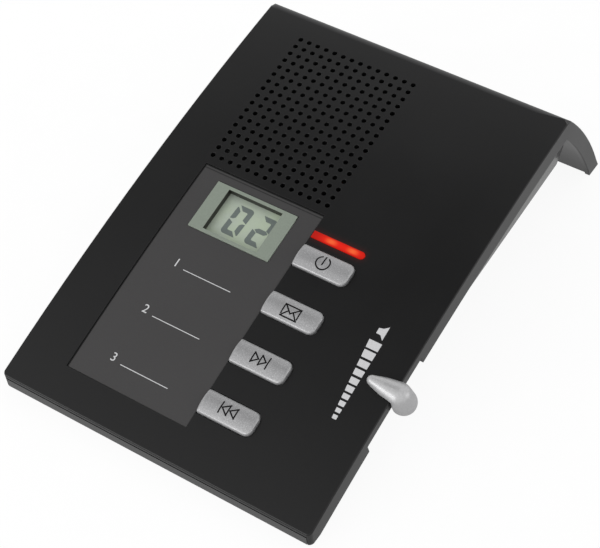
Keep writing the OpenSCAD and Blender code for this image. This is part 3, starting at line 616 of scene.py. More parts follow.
def black_shell(name):
    looks = bpy.context.scene.answering_case
    lamp = bpy.context.scene.answering_lamp
    finish = grained(name, looks.shell_color, looks.shell_roughness, grain=0.28, depth=0.01,
                     contrast=0.1, sheen_shift=0.02, ior=1.4, cloud=35)
    tree = finish.node_tree
    shader = tree.nodes["Principled BSDF"]
    # Painted glow: the shell itself emits red in a thin skin of its surface round the light bar,
    # standing in for the bar's light spilling onto the deck
    measure = deck_measure(finish)
    along = sum_of(tree, "SUBTRACT", measure["Across"], BAR_X + BAR_L / 2)
    along = sum_of(tree, "MAXIMUM", sum_of(tree, "SUBTRACT", sum_of(tree, "ABSOLUTE", along),
                                           BAR_L / 2 - 2 * MM), 0.0)
    off = sum_of(tree, "SUBTRACT", measure["Behind"], BAR_D)
    far = sum_of(tree, "SQRT", sum_of(tree, "ADD", sum_of(tree, "MULTIPLY", along, along),
                                      sum_of(tree, "MULTIPLY", off, off)))
    near = span(tree, far, 1.2 * MM, 5.5 * MM, 1.0, 0.0)
    near = sum_of(tree, "POWER", near, 3.0)
    skin = span(tree, measure["Depth"], 0.2 * MM, 0.6 * MM, 1.0, 0.0)
    glow = sum_of(tree, "MULTIPLY", near, skin)
    spill = darker(lamp.glow_color, lamp.spill)
    tree.links.new(blend_colors(tree, glow, (0, 0, 0, 1), spill), shader.inputs["Emission Color"])
    shader.inputs["Emission Strength"].default_value = 1.0
    return finish


def tray_black(name):
    looks = bpy.context.scene.answering_case
    return grained(name, looks.shell_color, looks.shell_roughness - 0.05, grain=0.45,
                   depth=0.012, contrast=0.12, sheen_shift=0.03, ior=1.75, cloud=30)


def label_film(name):
    looks = bpy.context.scene.answering_label
    finish = grained(name, looks.film_color, 0.46, grain=0.18, depth=0.004, contrast=0.08,
                     sheen_shift=0.03, cloud=40)
    tree = finish.node_tree
    measure = deck_measure(finish)
    # Painted shade: the label's outer strip at its left and rear edges is painted near black and
    # matte, standing in for the shadow of the recess walls; a thin dark line 1.45 mm in from the
    # rear edge is painted with it
    left = span(tree, measure["Across"], LABEL_X + 0.5 * MM, LABEL_X + 0.62 * MM, 1.0, 0.0)
    rear = LABEL_D + LABEL_L
    edge = span(tree, measure["Behind"], rear - 0.62 * MM, rear - 0.5 * MM)
    off = sum_of(tree, "ABSOLUTE", sum_of(tree, "SUBTRACT", measure["Behind"], rear - 1.45 * MM))
    line = span(tree, off, 0.2 * MM, 0.3 * MM, 0.8, 0.0)
    dark = sum_of(tree, "MAXIMUM", sum_of(tree, "MAXIMUM", left, edge), line)
    repaint(finish, dark, (0.001, 0.001, 0.001, 1))
    rough = tree.nodes["Principled BSDF"].inputs["Roughness"]
    tree.links.new(sum_of(tree, "MAXIMUM", rough.links[0].from_socket, dark), rough)
    return finish


def pale_ink(name):
    looks = bpy.context.scene.answering_label
    return grained(name, looks.ink_color, 0.5, grain=0.15, depth=0.004, contrast=0.05)


def display_surround(name):
    looks = bpy.context.scene.answering_display
    finish = grained(name, looks.surround_color, 0.42, grain=0.22, depth=0.006, contrast=0.05,
                     sheen_shift=0.03)
    tree = finish.node_tree
    measure = deck_measure(finish)
    # Painted shade: below its top face, the surround's inner walls at the left and rear of the
    # window are painted near black, as walls in shadow
    walls = span(tree, measure["Depth"], 0.1 * MM, 0.16 * MM)
    across = span(tree, measure["Across"], -24 * MM, -23 * MM, 1.0, 0.0)
    rear = span(tree, measure["Behind"], DISPLAY_D + 9.3 * MM, DISPLAY_D + 9.4 * MM)
    dark = sum_of(tree, "MULTIPLY", walls, sum_of(tree, "MAXIMUM", across, rear))
    front = span(tree, measure["Behind"], DISPLAY_D - 9.4 * MM, DISPLAY_D - 9.3 * MM)
    dark = sum_of(tree, "MULTIPLY", dark, front)
    repaint(finish, dark, (0.012, 0.012, 0.009, 1))
    # Painted light: the rest of the inner walls, at the front and right, are painted paler, as
    # walls catching the light
    pale = sum_of(tree, "SUBTRACT", walls, dark)
    repaint(finish, sum_of(tree, "MULTIPLY", pale, 0.8), (0.42, 0.46, 0.4, 1))
    return finish


def display_face(name):
    """The display's face: greener in soft patches, with a painted shadow beside its left and rear
    walls.
    """
    looks = bpy.context.scene.answering_display
    finish = grained(name, looks.face_color, 0.36, grain=0.3, depth=0.003, contrast=0.03,
                     sheen_shift=0.03, cloud=9)
    tree = finish.node_tree
    measure = deck_measure(finish)
    left = span(tree, measure["Across"], -31.8 * MM, -28.6 * MM, 1.0, 0.0, smooth=True)
    rear = span(tree, measure["Behind"], 100.6 * MM, 103.8 * MM, smooth=True)
    shadow = sum_of(tree, "MULTIPLY", sum_of(tree, "MAXIMUM", left, rear), 0.45)
    repaint(finish, shadow, darker(looks.face_color, 0.62))
    green = span(tree, tree.nodes["surface"].outputs["Cloud"], 0.42, 0.62, 0.0, 0.5)
    repaint(finish, green, (0.385, 0.46, 0.32, 1))
    return finish


def display_digits(name):
    looks = bpy.context.scene.answering_display
    return grained(name, looks.digit_color, 0.4, grain=0.3, depth=0.002, contrast=0.05)


def silver_paint(name, color=None):
    """Silver paint: fine metal flakes in a satin coat."""
    looks = bpy.context.scene.answering_keys
    finish = grained(name, color or looks.silver_color, 0.36, grain=0.12, depth=0.004, contrast=0.1,
                     sheen_shift=0.04, metallic=0.45, cloud=8)
    bright = span(finish.node_tree, cell_tint(finish, 0.11 * MM), 0.86, 1.0, 0.0, 0.55)
    repaint(finish, bright, (0.86, 0.86, 0.87, 1))
    return finish


def knob_paint(name):
    return silver_paint(name, bpy.context.scene.answering_keys.knob_color)


def lit_bar(name):
    """The red light bar: hot over its two lamps, deeper red between them and at its ends."""
    lamp = bpy.context.scene.answering_lamp
    finish = grained(name, (0.15, 0.004, 0.003, 1), 0.3, grain=0.5, depth=0.004, contrast=0.08,
                     ior=1.3)
    tree = finish.node_tree
    shader = tree.nodes["Principled BSDF"]
    measure = deck_measure(finish)
    hot = None
    for x in LAMP_XS:
        away = sum_of(tree, "ABSOLUTE", sum_of(tree, "SUBTRACT", measure["Across"], x))
        spot = span(tree, away, 0.0, 3.4 * MM, 1.0, 0.0, smooth=True)
        hot = spot if hot is None else sum_of(tree, "MAXIMUM", hot, spot)
    off = sum_of(tree, "ABSOLUTE", sum_of(tree, "SUBTRACT", measure["Behind"], BAR_D))
    core = span(tree, off, 0.3 * MM, 1.5 * MM, 1.0, 0.0, smooth=True)
    hot = sum_of(tree, "MULTIPLY", hot, core)
    middle = sum_of(tree, "SUBTRACT", measure["Across"], (LAMP_XS[0] + LAMP_XS[1]) / 2)
    ends = span(tree, sum_of(tree, "ABSOLUTE", middle), 6 * MM, 12 * MM, 0.0, 1.0, smooth=True)
    body = blend_colors(tree, core, darker(lamp.glow_color, 0.75), tuple(lamp.glow_color))
    body = blend_colors(tree, ends, body, darker(lamp.glow_color, 0.5))
    glow = blend_colors(tree, hot, body, tuple(lamp.lamp_color))
    tree.links.new(glow, shader.inputs["Emission Color"])
    shader.inputs["Emission Strength"].default_value = 1.0
    return finish


def lamp_resin(name):
    finish = grained(name, (0.75, 0.06, 0.03, 1), 0.25, grain=0.5, depth=0.003)
    shader = finish.node_tree.nodes["Principled BSDF"]
    shader.inputs["Emission Color"].default_value = (1.0, 0.12, 0.04, 1)
    shader.inputs["Emission Strength"].default_value = 1.5
    return finish


def grille_cloth(name):
    finish = grained(name, (0.008, 0.008, 0.009, 1), 0.9, grain=0.15, depth=0.01)
    tree = finish.node_tree
    weave = place_group(tree, "cross weave", Vector=on_object(finish),
                        Pitch=0.35 * MM)
    # Painted shade: the gaps between the threads are painted darker
    repaint(finish, sum_of(tree, "MULTIPLY", weave.outputs["Gap"], 0.8), (0.002, 0.002, 0.002, 1))
    bump = tree.nodes["bump"]
    bump.inputs["Distance"].default_value = 0.06 * MM
    tree.links.new(weave.outputs["Height"], bump.inputs["Height"])
    return finish


def zinc_steel(name):
    """Zinc-plated steel with a faint spangle."""
    finish = grained(name, (0.5, 0.51, 0.52, 1), 0.34, grain=0.2, depth=0.004, metallic=0.95)
    dull = span(finish.node_tree, cell_tint(finish, 1.3 * MM), 0.0, 1.0, 0.0, 0.35)
    repaint(finish, dull, (0.38, 0.39, 0.42, 1))
    return finish


def board_lacquer(name):
    """Green lacquer with copper tracks showing through it."""
    finish = grained(name, (0.012, 0.1, 0.04, 1), 0.3, grain=0.3, depth=0.006, contrast=0.1)
    tree = finish.node_tree
    where = on_object(finish)
    tracks = shade(tree, "TexBrick", {"offset": 0.37, "offset_frequency": 3, "squash": 1.8,
                                      "squash_frequency": 2}, {
        "Vector": where, "Scale": 60.0, "Mortar Size": 0.006, "Mortar Smooth": 0.1,
        "Brick Width": 0.42, "Row Height": 0.17})
    repaint(finish, sum_of(tree, "MULTIPLY", tracks.outputs["Fac"], 0.75), (0.05, 0.22, 0.09, 1))
    pads = shade(tree, "TexVoronoi", inputs={
        "Vector": where, "Scale": 1 / (5.1 * MM), "Randomness": 0.8})
    repaint(finish, span(tree, pads.outputs["Distance"], 0.1, 0.12, 0.9, 0.0), (0.45, 0.43, 0.4, 1))
    return finish


def capacitor_sleeve(name):
    """A dark blue sleeve on each can, and a bare top."""
    finish = grained(name, (0.022, 0.03, 0.085, 1), 0.28, grain=0.4, depth=0.003)
    tree = finish.node_tree
    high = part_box("capacitors")[1]
    parts = shade(tree, "SeparateXYZ", inputs={0: on_object(finish)})
    top = span(tree, parts.outputs["Z"], high.z - 0.6 * MM, high.z - 0.5 * MM)
    repaint(finish, top, (0.5, 0.5, 0.52, 1))
    return finish


def core_iron(name):
    """The transformer's dark iron, laminated across."""
    finish = grained(name, (0.06, 0.055, 0.05, 1), 0.5, grain=0.4, depth=0.01)
    tree = finish.node_tree
    parts = shade(tree, "SeparateXYZ", inputs={0: on_object(finish)})
    sheets = ripple(tree, parts.outputs["X"], 0.5 * MM)
    repaint(finish, span(tree, sheets, 0.4, 0.9, 0.0, 0.7), (0.02, 0.02, 0.02, 1))
    return finish


def lead_sleeve(name):
    finish = grained(name, (0.42, 0.02, 0.02, 1), 0.4, grain=0.4, depth=0.004)
    tree = finish.node_tree
    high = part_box("speaker_lead")[1]
    parts = shade(tree, "SeparateXYZ", inputs={0: on_object(finish)})
    half = span(tree, parts.outputs["X"], high.x - 1.15 * MM, high.x - 1.05 * MM)
    repaint(finish, half, (0.015, 0.015, 0.016, 1))
    return finish


def ribbon_grey(name):
    """Grey flat cable: one ridge for each of its wires and one red wire at its edge."""
    finish = grained(name, (0.33, 0.33, 0.34, 1), 0.45, grain=0.3, depth=0.004)
    tree = finish.node_tree
    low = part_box("ribbon_cable")[0]
    parts = shade(tree, "SeparateXYZ", inputs={0: on_object(finish)})
    wires = ripple(tree, parts.outputs["X"], 1.2 * MM)
    # Painted shade: the troughs between the wires are painted darker
    repaint(finish, span(tree, wires, -1.0, -0.6, 0.6, 0.0), (0.1, 0.1, 0.1, 1))
    repaint(finish, span(tree, parts.outputs["X"], low.x + 1.1 * MM, low.x + 1.2 * MM, 1.0, 0.0),
            (0.45, 0.03, 0.03, 1))
    bump = tree.nodes["bump"]
    bump.inputs["Distance"].default_value = 0.15 * MM
    tree.links.new(wires, bump.inputs["Height"])
    return finish


# The finishes that are one even material: colour, roughness and what else differs
PLAIN_FINISHES = {
    "symbol_ink": ((0.004, 0.004, 0.004), 0.6, {"grain": 0.15, "depth": 0.003, "ior": 1.2}),
    "rubber": ((0.028, 0.028, 0.028), 0.78, {"grain": 0.5, "depth": 0.03, "contrast": 0.2}),
    "natural_plastic": ((0.62, 0.61, 0.55), 0.42, {"grain": 0.3, "depth": 0.004}),
    "switch_plastic": ((0.022, 0.022, 0.024), 0.5, {"grain": 0.25, "depth": 0.01}),
    "brass": ((0.62, 0.42, 0.13), 0.28, {"grain": 0.3, "depth": 0.002, "metallic": 0.95}),
    "ferrite": ((0.045, 0.045, 0.05), 0.62, {"grain": 0.35, "depth": 0.03, "contrast": 0.3}),
    "pressed_paper": ((0.2, 0.18, 0.14), 0.85, {"grain": 0.5, "depth": 0.03, "contrast": 0.25}),
}
FINISHES = {finish.__name__: finish for finish in (
    black_shell, tray_black, label_film, pale_ink, display_surround, display_face, display_digits,
    silver_paint, knob_paint, lit_bar, lamp_resin, grille_cloth, zinc_steel, board_lacquer,
    capacitor_sleeve, core_iron, lead_sleeve, ribbon_grey)}



# ---------------------------------------------------------------- pieces

def analytic_normal(co, face_normal):
    """The true normal of the deck or of the leg's back at a point, or the face's own one."""
    if abs(above_deck(co)) < ON_FACE:
        true = Vector((0, co.y - ARCH_Y, co.z - ARCH_Z)).normalized()
        if abs(true.dot(face_normal)) > 0.9:
            return true
    if abs(behind_leg(co)) < ON_FACE:
        true = Vector((0, co.y - LEG_Y, co.z - LEG_Z)).normalized()
        if true.dot(face_normal) > 0.97:
            return true
    return face_normal


def set_true_normals(mesh, rounded):
    """Shades the broad faces as they truly lie and lets the roundings between them follow."""
    at_vertex = {}
    for face in mesh.polygons:
        if face.index in rounded:
            continue
        for vert in face.vertices:
            true = analytic_normal(mesh.vertices[vert].co, face.normal)
            at_vertex.setdefault(vert, []).append(true)
    round_sum, long_sum = {}, {}
    long_faces = {index for index in rounded if abs(mesh.polygons[index].normal.x) < 0.02
                  and behind_edge(mesh.polygons[index].center) > DECK_L - 4 * MM}
    for index in rounded:
        face = mesh.polygons[index]
        kept = long_sum if index in long_faces else round_sum
        for vert in face.vertices:
            kept.setdefault(vert, Vector()).xyz += face.normal
    for vert, total in long_sum.items():
        along = total.normalized()
        near = [n for n in at_vertex.get(vert, ()) if n.dot(along) > 0.99]
        at_vertex.setdefault(vert, []).insert(0, near[0] if near else along)
    normals = [None] * len(mesh.loops)
    for face in mesh.polygons:
        for loop in face.loop_indices:
            vert = mesh.loops[loop].vertex_index
            if face.index not in rounded:
                normals[loop] = analytic_normal(mesh.vertices[vert].co, face.normal)
                near = [n for n in at_vertex[vert] if n.dot(normals[loop]) > 0.94]
                if len(near) > 1 and abs(above_deck(mesh.vertices[vert].co)) > ON_FACE:
                    normals[loop] = sum(near, Vector()).normalized()
                continue
            near = [n for n in at_vertex.get(vert, ()) if n.dot(face.normal) > 0.7]
            if face.index in long_faces:
                near.sort(key=face.normal.dot, reverse=True)
            normals[loop] = near[0] if near else round_sum[vert].normalized()
    mesh.normals_split_custom_set([tuple(n) for n in normals])


def shell_with_rounded_edges(looks):
    """The shell with its deck's outer edges and the rims of its openings rounded."""
    bm = merged_copy("top_shell")

    def in_deck(face):
        return all(abs(above_deck(v.co)) < 0.02 * MM for v in face.verts)

    def sharp_edges():
        return [e for e in bm.edges if len(e.link_faces) == 2
                and e.calc_face_angle(0) > math.radians(30)
                and not all(in_deck(f) for f in e.link_faces)]

    def on_deck(edge):
        return all(abs(above_deck(v.co)) < ON_EDGE for v in edge.verts)

    rear = [e for e in sharp_edges() if on_deck(e)
            and all(behind_edge(v.co) > DECK_L - 0.1 * MM for v in e.verts)]
    rounded = set(round_off(bm, rear, looks.rear_reach, 10, clamp_overlap=False))

    def outer(edge):
        side = all(abs(abs(v.co.x - CASE_X) - CASE_W / 2) < 0.002 * MM for v in edge.verts)
        near = all(abs(above_deck(v.co)) < NEAR_EDGE and behind_edge(v.co) > DECK_L - 14 * MM
                   for v in edge.verts)
        back = all(abs(behind_leg(v.co)) < NEAR_EDGE and v.co.z > 1.2 * MM for v in edge.verts)
        front = on_deck(edge) and all(behind_edge(v.co) < 4.5 * MM for v in edge.verts)
        inner = all(abs(behind_leg(v.co) + LEG_DEPTH) < 0.01 * MM and v.co.z > 1.5 * MM
                    for v in edge.verts)
        return front or (side and (on_deck(edge) or near or back or inner))

    sharp = sharp_edges()
    border = [e for e in sharp if outer(e)]
    known = set(border)
    rims = [e for e in sharp if e not in known and on_deck(e)]
    rounded.update(round_off(bm, border, looks.edge_radius, 4, clamp_overlap=False))
    rims = [e for e in rims if e.is_valid]
    rounded.update(round_off(bm, rims, looks.rim_radius, 2, clamp_overlap=False))
    bm.faces.index_update()
    return bm, {face.index for face in rounded if face.is_valid}


def make_shell():
    looks = bpy.context.scene.answering_case
    bm, rounded = shell_with_rounded_edges(looks)
    piece = new_piece("shell_skin", bm, "case", look("black_shell"), smooth=40)
    set_true_normals(piece.data, rounded)
    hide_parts("top_shell")


def make_tray():
    soften_nodes(("base_tray", "tray_black"), ("leg_panel", "black_shell"))


def add_index_number(bm, number, x, d, height, low, thick):
    """A plain number from the built-in typeface, centred on its place."""
    letters = bpy.data.curves.new("index number", "FONT")
    letters.body = str(number)
    letters.extrude = thick / 2
    holder = bpy.data.objects.new("index number", letters)
    bpy.context.scene.collection.objects.link(holder)
    bpy.context.view_layer.update()
    solid = bpy.data.meshes.new_from_object(
        holder.evaluated_get(bpy.context.evaluated_depsgraph_get()))
    bpy.data.objects.remove(holder)
    bpy.data.curves.remove(letters)
    ys = [v.co.y for v in solid.vertices]
    xs = [v.co.x for v in solid.vertices]
    size = height / (max(ys) - min(ys))
    solid.transform(Matrix.Translation((x, d - height / 2, low + thick / 2))
                    @ Matrix.Diagonal((size, size, 1, 1))
                    @ Matrix.Translation((-(max(xs) + min(xs)) / 2, -min(ys), 0)))
    bm.from_mesh(solid)
    bpy.data.meshes.remove(solid)


def make_label():
    looks = bpy.context.scene.answering_label
    soften_node("label_card", look("label_film"), edge=0.08 * MM, segments=1)
    if not looks.show_index:
        return
    bm = bmesh.new()
    low, high = -LABEL_SINK - 0.01 * MM, -LABEL_SINK + 0.02 * MM
    for number, d in INDEX_LINES:
        add_index_number(bm, number, INDEX_X, d * MM, INDEX_H, low, high - low)
        front, rear = (d - WRITE_ON_FRONT) * MM, (d - WRITE_ON_REAR) * MM
        add_plate(bm, [(WRITE_ON_LEFT, front), (WRITE_ON_RIGHT, front),
                       (WRITE_ON_RIGHT, rear), (WRITE_ON_LEFT, rear)], low, high)
    tidy_faces(bm)
    bend_onto_deck(bm)
    new_piece("label_index", bm, "case", look("pale_ink"))


def make_volume_marks():
    """The pale wedge of ten bars and the small horn beside the slider."""
    bm = bmesh.new()
    low, high = -0.01 * MM, 0.025 * MM
    (rear_d, rear_x), (front_d, front_x) = VOLUME_LEFT
    for rear, front in VOLUME_BARS:
        left = [rear_x + (front_x - rear_x) * (rear_d - d) / (rear_d - front_d)
                for d in (rear, front)]
        outline = [(left[1], front), (VOLUME_RIGHT, front), (VOLUME_RIGHT, rear), (left[0], rear)]
        add_plate(bm, [(x * MM, d * MM) for x, d in outline], low, high)
    add_plate(bm, [(x * MM, d * MM) for x, d in reversed(HORN)], low, high)
    round_off(bm, upright_edges(bm, 0.01 * MM), MARK_CORNER_R, 3)
    tidy_faces(bm)
    bend_onto_deck(bm)
    new_piece("volume_marks", bm, "case", look("pale_ink"))


def digit_strokes(figure):
    """Outlines of the strokes of one figure of the display, before it leans."""
    w, h, t, g = DIGIT_W / MM, DIGIT_H / MM, DIGIT_STROKE / MM, 0.17
    m = h / 2
    r = 1.7

    def corner(steps=6):
        return [(w - r + r * math.sin(math.pi / 2 * i / steps),
                 h - r + r * math.cos(math.pi / 2 * i / steps)) for i in range(steps + 1)]

    top_right = ([(0.7, h)] + corner() + [(w, m + g), (w - t, m + g + 1.0), (w - t, h - t - 0.35),
                                          (w - t - 0.35, h - t), (2.7, h - t)])
    upper_left = [(0, m + g), (0, h - 1.35), (0.35, h - 0.95), (t, h - 2.6), (t, m + g + 1.0),
                  (t * 0.6, m + g + 0.15)]
    middle = [(0.75, m), (2.1, m + t / 2 - 0.05), (w - 1.9, m + t / 2 - 0.05), (w - 0.75, m),
              (w - 1.9, m - t / 2 + 0.05), (2.1, m - t / 2 + 0.05)]

    def turned(outline):
        return [(w - x, h - y) for x, y in outline]

    top = [(0.7, h), (w - 0.7, h), (w - 2.7, h - t), (2.7, h - t)]
    right = [(w, m + g), (w - t, m + g + 1.0), (w - t, h - 2.6), (w - 0.35, h - 0.95),
             (w, h - 1.35)]
    left = [(w - x, y) for x, y in right]
    table = {
        0: [top_right, upper_left, turned(top_right), turned(upper_left)],
        1: [right, turned(left)],
        2: [top_right, middle, turned(top_right)],
        3: [top, right, middle, turned(top), turned(left)],
        4: [left, right, middle, turned(left)],
        5: [top, left, middle, turned(top), turned(left)],
        6: [top, left, middle, turned(top), turned(left), turned(right)],
        7: [top, right, turned(left)],
        8: [top, left, right, middle, turned(top), turned(left), turned(right)],
        9: [top, left, right, middle, turned(top), turned(left)],
    }
    return [[(x * MM, y * MM) for x, y in outline] for outline in table[figure]]


def make_display():
    looks = bpy.context.scene.answering_display
    soften_nodes(("display_frame", "display_surround", 0.12))
    soften_nodes(("display_glass", "display_face"), ("display_connectors", "rubber", 0.1))
    bm = bmesh.new()
    lean = math.tan(DIGIT_LEAN)
    for place, figure in zip(DIGIT_PLACES, divmod(looks.count, 10)):
        for outline in digit_strokes(figure):
            points = [(place - DISPLAY_X + x + y * lean, DIGIT_FOOT_D - DISPLAY_D + y)
                      for x, y in outline]
            add_plate(bm, points, -0.02 * MM, 0.03 * MM)
    tidy_faces(bm)
    bmesh.ops.transform(bm, matrix=deck_place(DISPLAY_D, DISPLAY_X, -GLASS_DEPTH), verts=bm.verts)
    new_piece("display_digits", bm, "case", look("display_digits"))


def key_distance(step):
    return KEY_FRONT_D + step * KEY_PITCH


def board_gap(d):
    """Height of the deck's surface above the main board's top face."""
    return DECK_R - (DECK_R - BOARD_DEPTH) / math.cos((d - BOARD_D) / DECK_R)


def crown_drop(y):
    """How far a key's crown has fallen at a distance from its middle."""
    return KEY_TOP_R - math.sqrt(max(KEY_TOP_R * KEY_TOP_R - y * y, 0.0))


def key_cap(d, edge):
    """One key: a crowned cap with rounded edges, its hidden flange and its stem."""
    bm = bmesh.new()
    low = -KEY_SKIRT
    bmesh.ops.create_cube(bm, size=1, matrix=Matrix.Translation((0, 0, (KEY_RISE + low) / 2))
                          @ Matrix.Diagonal((KEY_L, KEY_W, KEY_RISE - low, 1)))

    def upright(side):
        return [e for e in upright_edges(bm, MM)
                if e.verts[0].co.x * side > KEY_L / 2 - 0.01 * MM]

    round_off(bm, upright(1), KEY_CORNER_R, 10)
    round_off(bm, upright(-1), KEY_LEFT_R, 4)
    top = [e for e in bm.edges if all(v.co.z > KEY_RISE - 0.01 * MM for v in e.verts)
           and len(e.link_faces) == 2 and e.calc_face_angle(0) > math.radians(40)]
    round_off(bm, top, edge, 5)
    steps = 16
    for i in range(-steps + 1, steps):
        y = KEY_W / 2 * i / steps
        bmesh.ops.bisect_plane(bm, geom=bm.verts[:] + bm.edges[:] + bm.faces[:],
                               plane_co=(0, y, 0), plane_no=(0, 1, 0))
    for vert in bm.verts:
        if vert.co.z > 0:
            vert.co.z -= crown_drop(vert.co.y)
    add_box(bm, (-KEY_L / 2 + 0.5 * MM, -KEY_W / 2 - KEY_FLANGE, KEY_FLANGE_LOW),
            (KEY_L / 2 + 0.5 * MM, KEY_W / 2 + KEY_FLANGE, KEY_FLANGE_HIGH))
    stem = board_gap(d) - PLUNGER_TOP
    bmesh.ops.create_cone(bm, cap_ends=True, segments=32, radius1=KEY_STEM_R, radius2=KEY_STEM_R,
                          depth=stem - 2 * MM,
                          matrix=Matrix.Translation((0, 0, -(stem + 2 * MM) / 2)))
    bmesh.ops.recalc_face_normals(bm, faces=bm.faces)
    bmesh.ops.transform(bm, matrix=deck_place(d, KEY_MID_X), verts=bm.verts)
    return bm


def power_symbol(bm, width, low, high):
    add_arc(bm, (18.0 * MM, 91.5 * MM), 2.72 * MM, width, 115, 425, low, high)
    add_stroke(bm, (18.0 * MM, 94.15 * MM), (18.0 * MM, 90.8 * MM), width, low, high)


def letter_symbol(bm, width, low, high):
    left, right, front, rear = 14.75 * MM, 21.45 * MM, 66.3 * MM, 71.1 * MM
    for start, end in (((left, front), (right, front)), ((left, rear), (right, rear)),
                       ((left, front), (left, rear)), ((right, front), (right, rear)),
                       ((left + 0.25 * MM, rear - 0.1 * MM), (18.1 * MM, 68.1 * MM)),
                       ((right - 0.25 * MM, rear - 0.1 * MM), (18.1 * MM, 68.1 * MM)),
                       ((left + 0.2 * MM, front + 0.15 * MM), (17.0 * MM, 68.8 * MM)),
                       ((right - 0.2 * MM, front + 0.15 * MM), (19.2 * MM, 68.8 * MM))):
        add_stroke(bm, start, end, width, low, high)


def skip_symbol(bm, width, low, high, bar, triangles):
    """Two outlined triangles and a bar; each triangle is its upright side and its tip."""
    add_stroke(bm, *bar, width, low, high)
    for side, front, rear, tip, mid in triangles:
        corners = [(side * MM, front * MM), (side * MM, rear * MM), (tip * MM, mid * MM)]
        for i in range(3):
            add_stroke(bm, corners[i], corners[(i + 1) % 3], width, low, high)


def next_symbol(bm, width, low, high):
    skip_symbol(bm, width, low, high, ((21.35 * MM, 45.4 * MM), (21.35 * MM, 49.85 * MM)),
                ((14.95, 45.55, 49.55, 17.4, 47.6), (18.15, 45.6, 49.6, 20.6, 47.65)))


def previous_symbol(bm, width, low, high):
    skip_symbol(bm, width, low, high, ((14.95 * MM, 23.7 * MM), (14.95 * MM, 28.05 * MM)),
                ((18.15, 23.85, 27.9, 15.55, 25.95), (21.35, 23.95, 27.85, 18.75, 25.95)))


SYMBOLS = {"key_power": power_symbol, "key_message": letter_symbol,
           "key_next": next_symbol, "key_previous": previous_symbol}


def make_key(node, body, step):
    looks = bpy.context.scene.answering_keys
    d = key_distance(step)
    cap = new_piece(node.replace("key_", "cap_"), key_cap(d, looks.edge_radius), body,
                    look("silver_paint"), smooth=50)
    even_shading(cap)
    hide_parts(node)
    bm = bmesh.new()
    SYMBOLS[node](bm, looks.stroke, -0.02 * MM, 0.02 * MM)
    bmesh.ops.subdivide_edges(bm, edges=[e for e in bm.edges if e.calc_length() > MM], cuts=3,
                              use_grid_fill=True)
    bmesh.ops.triangulate(bm, faces=[f for f in bm.faces if len(f.verts) > 4])
    bmesh.ops.recalc_face_normals(bm, faces=bm.faces)
    for vert in bm.verts:
        y = vert.co.y - d
        vert.co = Vector((vert.co.x - KEY_MID_X, y, vert.co.z + KEY_RISE - crown_drop(y)))
    bmesh.ops.transform(bm, matrix=deck_place(d, KEY_MID_X), verts=bm.verts)
    new_piece(node.replace("key_", "symbol_"), bm, body, look("symbol_ink"))


def make_keys():
    for node, body, step in KEYS:
        make_key(node, body, step)
        soften_node(node.replace("key_", "plunger_"), look("natural_plastic"), edge=0.15 * MM)
    soften_node("key_switches", look("switch_plastic"), edge=0.12 * MM)


def make_light_bar():
    soften_node("light_bar", look("lit_bar"), edge=0.25 * MM, segments=3)
    soften_node("indicator_leds", look("lamp_resin"), edge=0.15 * MM)


def make_volume_knob():
    """The slider's knob, grown smooth out of the model's own drop shape."""
    bm = merged_copy("volume_knob")
    bmesh.ops.recalc_face_normals(bm, faces=bm.faces)
    piece = new_piece("slider_knob", bm, "volume_slider", look("knob_paint"),
                      smooth=180)
    skin = piece.modifiers.new("Even skin", "REMESH")
    skin.mode = "VOXEL"
    skin.voxel_size = 0.22 * MM
    skin.use_smooth_shade = True
    polish = piece.modifiers.new("Polish", "SMOOTH")
    polish.factor = 0.5
    polish.iterations = 24
    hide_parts("volume_knob")
    soften_nodes(("slider_lever", "zinc_steel", 0.15), ("slide_control", "switch_plastic", 0.25))


def make_loudspeaker():
    soften_nodes(
        ("speaker_cloth", "grille_cloth"), ("speaker_gasket", "rubber"),
        ("speaker_frame", "zinc_steel"), ("speaker_cone", "pressed_paper"),
        ("speaker_magnet", "ferrite", 0.3), ("speaker_screws", "zinc_steel", 0.12),
        ("speaker_lead", "lead_sleeve", 0.25), ("microphone", "zinc_steel", 0.3),
        ("microphone_boot", "rubber", 0.15))


def make_boards():
    soften_nodes(
        ("main_board", "board_lacquer"), ("line_board", "board_lacquer"),
        ("processor_chip", "switch_plastic", 0.1), ("memory_chip", "switch_plastic", 0.1),
        ("clock_crystal", "zinc_steel", 0.25), ("capacitors", "capacitor_sleeve", 0.2),
        ("line_transformer", "core_iron", 0.2), ("ribbon_cable", "ribbon_grey", 0.15))


def make_sockets():
    """The telephone socket with its sprung contacts, and the power inlet."""
    soften_nodes(("line_socket", "switch_plastic", 0.2), ("power_socket", "switch_plastic", 0.2))
    bm = bmesh.new()
    lean = Matrix.Rotation(CONTACT_LEAN, 4, "X")
    for i in range(4):
        x = (CONTACT_X + (i - 1.5) * CONTACT_PITCH) * MM
        add_box(bm, (-0.22 * MM, -0.09 * MM, 0), (0.22 * MM, 0.09 * MM, CONTACT_L),
                tray_place(x, CONTACT_V, CONTACT_H) @ lean, edge=0.05 * MM)
    new_piece("line_contacts", bm, "case", look("brass"))


def make_fixings():
    soften_nodes(*((node, "zinc_steel", 0.12)
                   for node in ("board_screws", "line_board_screws", "case_screws")))
    soften_node("front_feet", look("rubber"), edge=0.5 * MM, segments=3)
    soften_nodes(("leg_feet", "rubber", 0.2))


# ---------------------------------------------------------------- studio

def studio_floor(name):
    """A pale floor, bright enough to stay even under soft light, and clear from below."""
    looks = bpy.context.scene.answering_studio
    finish = grained(name, (0.05, 0.05, 0.05, 1), 0.8, grain=3, depth=0.01, contrast=0.01)
    shader = finish.node_tree.nodes["Principled BSDF"]
    shader.inputs["Emission Color"].default_value = (1, 1, 1, 1)
    tree = finish.node_tree
    seen = shade(tree, "LightPath").outputs["Is Camera Ray"]
    tree.links.new(span(tree, seen, 0.0, 1.0, looks.floor_glow * looks.floor_return,
                        looks.floor_glow), shader.inputs["Emission Strength"])
    behind = shade(tree, "NewGeometry").outputs["Backfacing"]
    tree.links.new(span(tree, behind, 0.0, 1.0, 1.0, 0.0), shader.inputs["Alpha"])
    return finish


